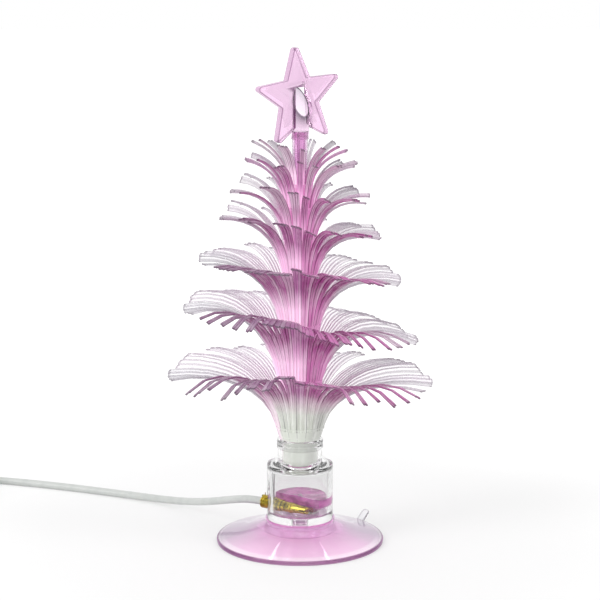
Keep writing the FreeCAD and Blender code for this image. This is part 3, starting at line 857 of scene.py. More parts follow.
@dataclass
class Studio:
    """Camera, plain light, floor and white surroundings, in metres."""

    eye: tuple = (0.0, -0.700, 0.225)
    tilt: float = 78.93
    lens: float = 121.5
    sensor: float = 36.0
    clip: Span = (0.01, 20.0)
    floor_half: float = 3.0
    floor_fade: Span = (0.08, 0.30)
    floor_glow: Span = (0.47, 0.785)
    floor_bounce: float = 0.86
    floor_seen: float = 0.50
    light_level: float = 0.80
    wall_behind: Span = (-0.15, 0.35)
    wall_above: Span = (0.55, 0.8)
    wall_sides: Span = (-0.3, 0.3)
    dim_sides: Span = (0.05, 0.32)
    aim: tuple = (0.0, 0.0, 0.08)
    lamps: tuple = (
        ("left window", (-0.75, -0.45, 0.55), (0.35, 0.8), 3.4, 0.0),
        ("right window", (0.80, -0.25, 0.60), (0.25, 0.8), 1.8, 0.0),
        ("left glint", (-0.143, 0.623, 0.764), (0.014, 0.26), 0.07, -28.0),
        ("right glint", (0.138, 0.623, 0.764), (0.014, 0.26), 0.07, 27.0),
    )

    def camera(self) -> None:
        """The camera looks slightly down on the lamp from in front."""
        data = bpy.data.cameras.new("camera")
        data.lens = self.lens
        data.sensor_width = self.sensor
        data.clip_start, data.clip_end = self.clip
        eye = placed("camera", data)
        eye.location = self.eye
        eye.rotation_euler = (math.radians(self.tilt), 0.0, 0.0)
        bpy.context.scene.camera = eye

    def floor(self) -> None:
        """A pale floor that keeps the shadow, whose own colour shows as white."""
        corners = self.floor_half * np.array([(-1, -1, 0), (1, -1, 0), (1, 1, 0), (-1, 1, 0)])
        data = bpy.data.meshes.new("floor")
        data.from_pydata(corners.tolist(), [], [(0, 1, 2, 3)])
        plane = placed("floor", data)
        shade = Shader("floor")
        seen = self.seen(shade)
        away = shade.add("ShaderNodeVectorMath", {"operation": "LENGTH"}, {0: shade.place()}, 1)
        near, far = map(grey, self.floor_glow)
        own = shade.mix(away.ramp(*self.floor_fade), near, far)
        shade.finish(
            Base_Color=shade.mix(seen, grey(self.floor_bounce), grey(self.floor_seen)), Roughness=0.9,
            Emission_Color=shade.mix(seen, BLACK, own), Emission_Strength=1.0, Specular_IOR_Level=0.0)
        data.materials.append(shade.material)

    def seen(self, shade: Shader) -> Value:
        """1 where the eye, a mirror or glass looks, 0 where light bounces."""
        rays = [shade.add("ShaderNodeLightPath", {}, {}, output) for output in (0, 3, 6)]
        return rays[0].math("MAXIMUM", rays[1]).math("MAXIMUM", rays[2])

    def air_node(
        self, tree: bpy.types.NodeTree, kind: str, operation: str, *inputs: object,
    ) -> bpy.types.NodeSocket:
        """Adds one node to the surroundings.

        Args:
            tree: The surroundings' node tree.
            kind: The node's type.
            operation: A Math node's operation, or nothing.
            inputs: What its first sockets get, numbers or other nodes' outputs.

        Returns:
            The node's first output.
        """
        node = tree.nodes.new(kind)
        if operation:
            node.operation = operation
        for n, value in enumerate(inputs):
            if isinstance(value, bpy.types.NodeSocket):
                tree.links.new(value, node.inputs[n])
            else:
                node.inputs[n].default_value = value
        return node.outputs[0]

    def world(self) -> None:
        """White for the eye, a little less than that as light.

        Mirrors and glass see white behind and above the lamp and grey on the eye's side, as in a room
        with one lit wall, so that clear walls get their dark outlines.
        """
        world = bpy.data.worlds.new("studio")
        world.use_nodes = True
        tree = world.node_tree
        spread = "ShaderNodeMapRange"
        path = tree.nodes.new("ShaderNodeLightPath").outputs
        heading = tree.nodes.new("ShaderNodeSeparateXYZ")
        tree.links.new(self.air_node(tree, "ShaderNodeTexCoord", ""), heading.inputs[0])
        behind = self.air_node(tree, spread, "", heading.outputs["Y"], *self.wall_behind, 0.0, 1.0)
        above = self.air_node(tree, spread, "", heading.outputs["Z"], *self.wall_above, 0.0, 1.0)
        room = self.air_node(tree, "ShaderNodeMath", "MAXIMUM", behind, above)
        side = self.air_node(tree, spread, "", heading.outputs["X"], *self.wall_sides, *self.dim_sides)
        room = self.air_node(tree, spread, "", room, 0.0, 1.0, side, 1.0)
        mirrored = self.air_node(
            tree, "ShaderNodeMath", "MAXIMUM", path["Is Glossy Ray"], path["Is Transmission Ray"])
        level = self.air_node(tree, spread, "", path["Is Camera Ray"], 0.0, 1.0, self.light_level, 1.0)
        away = self.air_node(tree, "ShaderNodeMath", "SUBTRACT", room, level)
        level = self.air_node(tree, "ShaderNodeMath", "MULTIPLY_ADD", away, mirrored, level)
        back = tree.nodes["Background"]
        back.inputs["Color"].default_value = (*WHITE, 1.0)
        tree.links.new(level, back.inputs["Strength"])
        bpy.context.scene.world = world

    def lamp(self, name: str, place: tuple, size: tuple, power: float, roll: float) -> None:
        """One soft lamp that looks at the middle of the tree.

        Args:
            name: The lamp's name.
            place: Where it stands.
            size: Its width and height.
            power: Its power in watts.
            roll: How far it is turned in its own plane, in degrees.
        """
        data = bpy.data.lights.new(name, "AREA")
        data.shape = "RECTANGLE"
        data.size, data.size_y = size
        data.energy = power
        light = placed(name, data)
        light.location = place
        x, y, z = np.array(self.aim) - np.array(place)
        aim = Euler((math.atan2(math.hypot(x, y), -z), 0.0, math.atan2(-x, y))).to_matrix()
        light.rotation_euler = (aim @ Matrix.Rotation(math.radians(roll), 3, "Z")).to_euler()

    def build(self) -> None:
        """Sets up everything that isn't the lamp."""
        self.camera()
        self.floor()
        self.world()
        for row in self.lamps:
            self.lamp(*row)
        bpy.context.scene.view_settings.view_transform = "Standard"


# ---------------------------------------------------------------- foot


@dataclass
class SuctionFoot(Assembly):
    """The soft clear disc, its button under the cup and its lifting tab."""

    radius: float = 30.0
    rim_height: float = 1.4
    rim_land: float = 1.6
    sag: float = 0.5
    dome: float = 3.4
    seat_radius: float = 12.5
    seat: float = 8.0
    lip_bore: float = 11.9
    lip_top: float = 8.8
    step: float = 0.9
    nub_radius: float = 2.6
    head_radius: float = 3.4
    neck: float = 1.38
    head_top: float = 10.3
    bands: tuple = (4.0, 3.2, 2.5, 1.9, 1.3, 0.95, 0.7)
    rim_band: Span = (0.95, 0.35)
    # painted highlight: where the white line runs in from the rim
    highlight_band: Span = (3.3, 2.4)
    # painted shade: how far the deep band reaches out from the cup
    collar_shade: float = 2.2
    ray_start: float = 20.0
    tab_width: float = 3.2
    tab_length: float = 4.6
    tab_thick: float = 1.0
    tab_bevel: float = 0.25
    tab_azimuth: float = 40.0
    tab_rise: float = 46.0
    # painted light and shade: the side and front tones follow the direction, the collar tone is shade round
    # the cup
    painted_side_tone: RGB = linear(190, 178, 194)
    painted_front_tone: RGB = linear(242, 204, 232)
    collar_shade_tone: RGB = linear(222, 146, 206)
    streak_tone: RGB = linear(176, 164, 182)
    ray_tone: RGB = linear(236, 178, 224)
    rim_tone: RGB = linear(100, 16, 94)
    tab_tone: RGB = linear(238, 238, 240)
    tab_wall_shade: RGB = linear(150, 146, 152)

    def section(self) -> np.ndarray:
        """Button, seat with a lip, step, cone that sags half way, round rim, hollow under it.

        The cone has points a band's distance from the rim, where its colour changes.

        Returns:
            Radii and heights, n by 2.
        """
        low, head = self.seat - self.step, self.seat + self.neck
        middle = ((self.seat_radius + self.radius) / 2, (low + self.rim_height) / 2 - self.sag, 40.0)
        fall = (self.rim_height - middle[1]) / (self.radius - middle[0])
        bands = [(self.radius - d, self.rim_height - d * fall) for d in self.bands]
        return rounded([
            (0.0, self.head_top), (self.head_radius, self.head_top, 0.35), (self.head_radius, head),
            (self.nub_radius, head), (self.nub_radius, self.seat), (self.lip_bore, self.seat),
            (self.lip_bore, self.lip_top, 0.15), (self.seat_radius, self.lip_top, 0.3),
            (self.seat_radius, low, 0.3), middle, *bands, (self.radius, self.rim_height, 0.55),
            (self.radius, 0.0, 0.4), (self.radius - self.rim_land, 0.0, 0.3),
            (self.seat_radius, self.dome, 6.0), (0.0, self.dome)], 6)

    def tints(self, grid: np.ndarray) -> np.ndarray:
        """Pale at the sides and pink in front as painted light and shade, deep round the cup as painted
        shade, a painted white highlight line and a dark rim, darker at the sides as painted shade.

        Streaks behind and rays all round are sines of the direction, bent by slower sines.

        Args:
            grid: The disc's points.

        Returns:
            Colours in the grid's shape.
        """
        r = np.hypot(grid[..., 0], grid[..., 1])
        around = np.arctan2(grid[..., 1], grid[..., 0])
        front, side = -np.sin(around), np.abs(np.cos(around))
        rim = step_up(r, self.radius - self.rim_band[0], self.radius - self.rim_band[1])
        # painted highlight: a white line inside the rim, in front only
        line = step_up(r, self.radius - self.highlight_band[0], self.radius - self.highlight_band[1])
        line = line * (1 - rim) * step_up(front, -0.1, 0.5)
        # painted shade: deeper colour round the cup's foot
        collar_shade = step_up(-r, -self.seat_radius - self.collar_shade, -self.seat_radius)
        streak = 0.5 + 0.5 * np.sin(around * 9 + 1.3 * np.sin(around * 4))
        ray = (0.5 + 0.5 * np.sin(around * 23 + 2.1 * np.sin(around * 7))) ** 3
        button = step_up(grid[..., 2], self.seat, self.seat + 0.1) * (r < self.lip_bore - 1)
        # painted light and shade: pale at the sides, pink in front
        tint = weigh(step_up(front, -0.2, 0.85), self.painted_side_tone, self.painted_front_tone)
        for share, tone in (
            (collar_shade * 0.6, self.collar_shade_tone),
            ((0.3 + streak) * step_up(-front, -0.3, 0.4) * 0.5, self.streak_tone),
            (ray * 0.25 * step_up(r, self.seat_radius, self.ray_start), self.ray_tone),
            (line * 0.6, WHITE),
            # the thick rim's deeper tint, made darker at the sides as painted shade
            (rim * (0.75 + 0.25 * side), self.rim_tone),
            (button, WHITE),
        ):
            tint = weigh(share, tint, tone)
        return tint

    def tab(self) -> tuple[np.ndarray, np.ndarray]:
        """A tongue with a half-round end: its outline in four levels, in by the bevel at both faces.

        Returns:
            The grid and its colours.
        """
        half, end = self.tab_width / 2, self.tab_length + self.rim_land
        line = rounded([(0.4, -half), (end, -half, half * 0.8), (end, half, half * 0.8), (0.4, half)], 8)
        wall = np.array([0.0, 1.0, 1.0, 0.0])[:, None]
        level = np.array([0.0, self.tab_bevel, self.tab_thick - self.tab_bevel, self.tab_thick])[:, None]
        middle = np.array([end / 2, 0.0])
        away = (line - middle) / np.linalg.norm(line - middle, axis=1, keepdims=True)
        flat = line[None] - away[None] * self.tab_bevel * (1 - wall[..., None])
        x, y, z = flat[..., 0], flat[..., 1], level + 0 * flat[..., 0]
        rise = math.radians(self.tab_rise)
        out = self.radius - self.rim_land + x * math.cos(rise) - z * math.sin(rise)
        up = 0.15 + x * math.sin(rise) + z * math.cos(rise)
        # painted shade: the bevelled walls get a grey outline colour, the faces the pale tone
        return turned((out, y, up), self.tab_azimuth), weigh(wall, self.tab_tone, self.tab_wall_shade)

    def build(self) -> None:
        """Disc and tab as one piece."""
        shape = Shape("tint")
        disc = lathe(self.section(), 128)
        shape.grid(disc, tint=self.tints(disc))
        tab, tint = self.tab()
        shape.grid(tab, ends=True, tint=tint)
        soft = SoftFinish("soft clear pink", linear(190, 130, 184)).material()
        self.dress(shape.mesh("suction_foot"), Body.FOOT, soft, "pink_soft_plastic", "suction_disc")


# ---------------------------------------------------------------- cup, resin and light


@dataclass(frozen=True)
class LeadLine:
    """The level line beside the lamp's axis on which the brass fitting lies."""

    azimuth: float = -36.9
    offset: float = 5.3
    height: float = 13.5

    def put(self, grid: np.ndarray, along: float = 0.0) -> np.ndarray:
        """Lays a grid made up +Z along the line, starting from the point nearest to the lamp's axis.

        Args:
            grid: Points, the last axis x, y, z.
            along: How far ahead its foot is put.

        Returns:
            The points in their place.
        """
        a = math.radians(self.azimuth - 90)
        origin = np.array([self.offset * math.cos(a), self.offset * math.sin(a), self.height])
        return laid(grid + np.array([0.0, 0.0, along]), origin, self.azimuth)


@dataclass
class BaseCup(Assembly):
    """The clear round cup with its beaded neck, the resin in it and what the resin holds."""

    radius: float = 11.8
    cavity: float = 9.9
    seat: float = 8.0
    clearance: float = 0.06
    floor: float = 10.7
    ceiling: float = 27.2
    shoulder: float = 28.8
    neck_foot: float = 30.2
    neck: float = 7.9
    bore: float = 6.43
    mouth: float = 38.0
    bead: float = 8.25
    bead_pitch: float = 1.8
    bead_step: float = 0.35
    button: float = 2.68
    button_head: float = 3.48
    button_step: float = 9.3
    lead: LeadLine = LeadLine()
    lead_hole: float = 2.41
    hole_span: Span = (-18.5, -6.0)
    resin_radius: float = 9.98
    resin_top: float = 18.0
    resin_face: float = 2.8
    resin_edge: float = 0.8
    clear_layer: Span = (13.6, 14.6)
    resin_columns: int = 120

    def cup(self) -> Shape:
        """The turned section of the cup, every outer corner round, two beads on the neck, with painted dark
        lines at the shoulder, the beads and the foot.

        Returns:
            The cup.
        """
        foot, low = self.seat + self.clearance, self.mouth - 2 * self.bead_pitch
        middle, bead, step = low + self.bead_pitch, self.bead, self.bead_step
        section = rounded([
            (self.radius, foot, 0.5), (self.radius, self.shoulder, 0.7), (self.neck, self.neck_foot, 0.4),
            (self.neck, low, 0.15), (bead, low + step, 0.4), (bead, middle - step, 0.4),
            (self.neck + 0.05, middle, 0.12), (bead, middle + step, 0.4), (bead, self.mouth - 0.2, 0.5),
            (self.bore, self.mouth, 0.3), (self.bore, self.ceiling, 0.4), (self.cavity, self.ceiling, 1.0),
            (self.cavity, self.floor, 0.9), (self.button_head, self.floor),
            (self.button_head, self.button_step), (self.button, self.button_step), (self.button, foot)], 5)
        grid = lathe(section, 112)
        r, z = np.hypot(grid[..., 0], grid[..., 1]), grid[..., 2]
        # painted shade: dark lines at the shoulder's corner, the beads and the foot, where clear walls show
        # dark edges
        wall = step_up(r, self.radius - 1.0, self.radius - 0.2)
        edge = 0.35 * wall * step_up(z, self.shoulder - 1.8, self.shoulder - 0.4)
        edge = edge + 0.30 * step_up(r, self.neck - 0.1, bead) * step_up(z, low - 0.2, low + 0.2)
        edge = edge + 0.30 * step_up(-z, -self.seat - 0.5, -self.seat)
        return Shape("edge").grid(grid, closed=True, edge=edge)

    def resin(self) -> Shape:
        """A disc cut flat on the side of the fitting, clear at its foot, its top higher at the wall.

        Its wall is at min(radius, face / cos of the angle from the flat side). The top dips inward, with
        five low waves round it.

        Returns:
            The resin block.
        """
        a = circle(self.resin_columns)
        toward = np.cos(a - math.radians(self.lead.azimuth - 90))
        reach = np.minimum(self.resin_radius, self.resin_face / np.maximum(toward, 1e-3))
        top = self.resin_top - self.resin_edge
        levels = ((self.floor + self.clearance, 0.3), (self.clear_layer[0], 0.0), (self.clear_layer[1], 0.0),
                  (15.8, 0.0), (top - 0.4, 0.05), (top, 0.5))
        rows = [ring(reach - inset, z, a) for z, inset in levels]
        for share in (0.85, 0.6, 0.3, 0.0):
            dip = 0.35 * (1 - share) + 0.12 * np.sin(a * 5) * share
            rows.append(ring((reach - 0.5) * share, top - dip, a))
        grid = np.stack(rows)
        shape = Shape("cover")
        shape.grid(grid, cover=0.06 + 0.94 * step_up(grid[..., 2], *self.clear_layer))
        shape.cap(range(self.resin_columns)[::-1])
        return shape

    def build(self) -> None:
        """Cup, resin, and the nodes inside."""
        glass = ClearFinish(
            "clear cup", WHITE, linear(92, 96, 96), roughness=0.01, bend=1.40, wave=0.00001,
            rim_start=0.72)
        piece = self.cup().mesh("base_cup_clear")
        hole = lathe(np.array([[self.lead_hole, end] for end in self.hole_span]), 32)
        cut(piece, Shape().grid(self.lead.put(hole), ends=True).mesh("drill"))
        self.dress(piece, Body.BASE, glass.material(), "clear_cup", "base_cup")
        resin = ResinFinish("pink resin", linear(214, 104, 188), linear(160, 38, 134)).material()
        self.dress(self.resin().mesh("resin_fill"), Body.BASE, resin, "pink_resin", "potting_block")
        inside = {
            "led_board": SolidFinish(
                "light board", linear(224, 226, 220), linear(210, 214, 206), roughness=0.4),
            "rgb_led": ClearFinish(
                "clear light", linear(244, 244, 250), linear(170, 170, 180), roughness=0.1, clear=0.8),
            "resistor": SolidFinish(
                "resistor body", linear(128, 166, 190), linear(110, 150, 176), roughness=0.35, coat=0.4),
            "lead_wires": SolidFinish(
                "wire skin", linear(168, 42, 42), linear(146, 34, 36), roughness=0.35, coat=0.3),
        }
        for node, finish in inside.items():
            self.finish_node(node, finish.material())


# ---------------------------------------------------------------- brass fitting


@dataclass
class LeadFitting(Assembly):
    """Wound wire, ribbed ferrule and split tip of the brass lead fitting."""

    lead: LeadLine = LeadLine()
    back: float = -12.5
    binding: float = 4.4
    binding_radius: float = 2.4
    wire: float = 0.46
    tail: float = 0.22
    turns: int = 5
    overhang: float = 0.8
    sleeve: float = 1.85
    cord_bore: float = 1.45
    cord_stop: float = 3.05
    crimp: float = 4.9
    crimp_radii: tuple = (2.45, 2.3, 2.15)
    rib_depth: float = 0.42
    barrel: float = 4.1
    barrel_radius: float = 1.85
    waist: float = 1.5
    waist_depth: float = 0.4
    tip_bore: float = 1.0
    spigot: Span = (0.95, 1.5)
    tip_length: float = 6.2
    tip_radius: float = 1.3
    taper: float = 3.2
    slot_width: float = 0.8
    slot_length: float = 2.8

    def front(self) -> float:
        """How far the barrel's end is from the sleeve's back."""
        return self.binding + self.crimp + self.barrel

    def wound_wire(self) -> Shape:
        """A helix of round wire on the sleeve, and its thin cut end, which stands up.

        Returns:
            The wire.
        """
        share = np.linspace(0, 1, self.turns * 14 + 1)
        r = self.binding_radius - self.wire
        rise = self.wire - self.overhang + (self.binding + self.overhang - 2 * self.wire) * share
        helix = ring(r, rise, 2 * math.pi * self.turns * share)
        end = np.array([[r + 0.5, -0.15, 0.85], [r + 1.0, -0.25, 1.1], [r + 1.5, -0.2, 1.05]])
        shape = Shape("edge")
        for path, radius in ((helix, self.wire), (end, self.tail)):
            shape.grid(pipe(self.lead.put(path, self.back), radius, 7), ends=True)
        return shape

    def ferrule(self) -> Shape:
        """Sleeve, three rounded ribs that get smaller, and a barrel with a waist and an end bead.

        It is hollow for the cord and the tip. The edge value marks the grooves of the ribs and the waist for
        painted shade.

        Returns:
            The ferrule.
        """
        start, pitch = self.binding, self.crimp / len(self.crimp_radii)
        outer = [(self.sleeve, 0.0, 0.15), (self.sleeve, start, 0.1)]
        for n, crest in enumerate(self.crimp_radii):
            at = start + n * pitch
            outer += [
                (crest, at + 0.12, 0.25), (crest, at + pitch - 0.5, 0.3),
                (crest - self.rib_depth, at + pitch - 0.1, 0.1)]
        foot, front, wide = start + self.crimp, self.front(), self.barrel_radius
        waist, slim, bead = foot + self.waist, wide - self.waist_depth, wide + 0.1
        outer += [
            (wide, foot + 0.05, 0.1), (wide, waist - 0.3, 0.1), (slim, waist - 0.15, 0.1),
            (slim, waist + 0.15, 0.1), (wide, waist + 0.3, 0.1), (wide, front - 0.9, 0.1),
            (bead, front - 0.7, 0.1), (bead, front - 0.1, 0.1), (self.tip_bore, front),
            (self.tip_bore, self.cord_stop), (self.cord_bore, self.cord_stop), (self.cord_bore, 0.0)]
        section = rounded(outer, 4)
        r, at = section.T
        low = np.where((at > start - 0.1) * (at < foot), 2.05, 1.6)
        # painted shade: how much each groove is darkened
        groove = step_up(low - r, -0.1, 0.15) * (at > start - 0.1)
        grid = self.lead.put(lathe(section, 40), self.back)
        return Shape("edge").grid(grid, closed=True, edge=groove[:, None])

    def tip(self) -> Shape:
        """A taper with a round nose and a spigot in the barrel.

        Returns:
            The tip.
        """
        radius, depth = self.spigot
        section = rounded([
            (0.0, -depth), (radius, -depth), (radius, 0.0), (self.barrel_radius, 0.0, 0.15),
            (self.tip_radius + 0.1, self.taper, 1.5), (self.tip_radius, self.tip_length, 0.3),
            (0.0, self.tip_length)], 4)
        return Shape("edge").grid(self.lead.put(lathe(section, 36), self.back + self.front()))

    def saw(self) -> bpy.types.Object:
        """An upright plate, wider than the tip, in the room of the tip's slot.

        Returns:
            The plate, to be cut out of the tip.
        """
        half, wide, long = self.slot_width / 2, 2.0, 4.0
        corners = np.array([[-half, -wide, 0], [half, -wide, 0], [half, wide, 0], [-half, wide, 0]])
        plate = np.stack([corners, corners + np.array([0.0, 0.0, long])])
        at = self.back + self.front() + self.tip_length - self.slot_length
        return Shape().grid(self.lead.put(plate, at), ends=True).mesh("saw")

    def build(self) -> None:
        """The three brass pieces."""
        brass = MetalFinish(
            "brass", linear(222, 198, 80), linear(118, 96, 32), roughness=0.16, grain=2600.0).material()
        pieces = {
            "lead_binding": self.wound_wire().mesh("binding_wire"),
            "lead_ferrule": self.ferrule().mesh("ferrule"),
            "lead_tip": self.tip().mesh("split_tip"),
        }
        cut(pieces["lead_tip"], self.saw())
        for node, piece in pieces.items():
            self.dress(piece, Body.BASE, brass, "brass", node)


# ---------------------------------------------------------------- stalk, stem and fibres


@dataclass
class Stem(Assembly):
    """The frosted light guide in the neck and the thin pink tube above it."""

    stalk: float = 5.2
    flange: float = 5.9
    foot: float = 27.0
    shank: float = 28.2
    top: float = 46.0
    tube: float = 2.7
    clearance: float = 0.05
    wall: float = 0.75
    bore_shade: float = 0.5
    tube_foot: float = 42.0
    tube_top: float = 147.6

    def light_stalk(self) -> Shape:
        """The turned guide with its flange and its socket.

        Returns:
            The guide.
        """
        bore = self.tube + self.clearance
        section = rounded([
            (0.0, self.foot), (self.flange, self.foot, 0.3), (self.flange, self.shank, 0.2),
            (self.stalk, self.shank, 0.2), (self.stalk, self.top, 0.3), (bore, self.top),
            (bore, self.tube_foot), (0.0, self.tube_foot)], 4)
        return Shape("edge").grid(lathe(section, 64))

    def stem_tube(self) -> Shape:
        """The thin tube, open at both ends, with round lips.

        Returns:
            The tube.
        """
        inner = self.tube - self.wall
        section = rounded([
            (self.tube, self.tube_foot, 0.2), (self.tube, self.tube_top, 0.2),
            (inner, self.tube_top, 0.2), (inner, self.tube_foot, 0.2)], 3)
        # painted shade: the bore's wall is darkened
        edge = self.bore_shade * (section[:, :1] < inner + 0.1)
        return Shape("edge").grid(lathe(section, 48), closed=True, edge=edge)

    def build(self) -> None:
        """The guide and the tube."""
        frosted = FrostedFinish("light guide", linear(232, 236, 228), linear(214, 220, 210)).material()
        self.dress(self.light_stalk().mesh("light_guide"), Body.TREE, frosted, "light_guide", "light_stalk")
        pink = ClearFinish(
            "pink tube", linear(250, 218, 244), linear(160, 100, 154), bend=1.30, wave=0.00001,
            rim_start=0.96).material()
        self.dress(self.stem_tube().mesh("pink_stem"), Body.TREE, pink, "pink_tube", "stem_tube")


@dataclass(frozen=True)
class FibreLook:
    """The fibres' colours, and where each begins and is reached.

    Spans whose names end in right go by how far to the right a fibre points, -1 to 1, those ending in
    left by how far to the left, those ending in way by the share of the fibre. A cover holds the value
    at the root and what is lost on the way, brightness a least value and what chance adds to it,
    finger_grey the left side's and the right side's.
    """

    soft: RGB = linear(250, 206, 238)
    rosy: RGB = linear(220, 130, 196)
    plum: RGB = linear(166, 86, 144)
    lilac: RGB = linear(194, 124, 178)
    deep: RGB = linear(160, 66, 134)
    mauve: RGB = linear(170, 128, 164)
    # painted sheen: the next colour is mixed in where a sheet is seen edge on
    edge_on_sheen: RGB = linear(234, 234, 238)
    clear: RGB = linear(249, 238, 249)
    smoke: RGB = linear(206, 198, 208)
    blush: RGB = linear(240, 166, 222)
    milk: RGB = linear(210, 215, 205)
    dull_milk: RGB = linear(186, 189, 182)
    rosy_near_right: Span = (0.0, 0.45)
    plum_right: Span = (-0.35, -0.1)
    lilac_right: Span = (0.05, 0.3)
    rosy_far_right: Span = (-0.3, 0.25)
    middle_way: Span = (0.06, 0.42)
    end_way: Span = (0.55, 0.95)
    edge_on: Span = (0.92, 0.99)
    edge_on_way: Span = (0.12, 0.4)
    edge_on_sheen_share: float = 0.85
    edge_on_thin: float = 0.5
    behind: Span = (-0.02, 0.3)
    behind_way: Span = (0.05, 0.9)
    behind_grey: float = 0.85
    smoke_right: Span = (0.1, 0.6)
    smoke_share: float = 0.8
    front_cover: Span = (0.92, 0.36)
    front_cover_way: Span = (0.3, 1.0)
    back_cover: Span = (0.54, 0.32)
    back_cover_way: Span = (0.0, 0.4)
    blush_share: float = 0.85
    white_left: Span = (0.1, 0.7)
    white_share: float = 0.6
    dull_right: Span = (0.1, 0.7)
    bare: Span = (47.0, 57.0)
    bare_left: Span = (0.8, 0.97)
    bare_left_floor: float = 37.5
    bare_left_loss: float = 0.75
    brightness: Span = (0.90, 0.18)
    # painted highlight: the white mixed into some strands and blades as streaks of light, and where along
    # the way
    highlight_strand: float = 0.2
    highlight_blade: float = 0.4
    highlight_way: Span = (0.2, 0.6)
    finger_grey: Span = (0.75, 0.3)
    finger_way: Span = (0.3, 0.6)
    parting: float = 0.3
    parting_way: Span = (0.12, 0.4)
    veil: float = 0.2
    # painted glow: where along the fibre it fades, how much less on the right, and how weak on the lowest
    # tier
    glow_way: Span = (0.08, 0.42)
    glow_right: Span = (0.0, 0.4)
    glow_right_loss: float = 0.7
    lowest_glow: float = 0.1

    def low(self, z: np.ndarray) -> np.ndarray:
        """1 at the bare bottom of the lowest tier, 0 above it."""
        return step_up(-z, -self.bare[1], -self.bare[0])


@dataclass(frozen=True)
class Strand:
    """Half a fibre. A blade has count fibres, and its strands are numbered across it from 0."""

    blade: int
    angle: float
    count: int
    number: int

    def fibre(self) -> int:
        """Which of the blade's fibres it belongs to."""
        return self.number // 2

    def side(self) -> int:
        """Which half of its fibre it is, 0 or 1."""
        return self.number % 2

    def right(self) -> float:
        """The cosine of the blade's direction: 1 to the right, -1 to the left."""
        return math.cos(math.radians(self.angle))

    def front(self) -> float:
        """1 to the front, 0 at the sides and behind."""
        return max(0.0, -math.sin(math.radians(self.angle)))


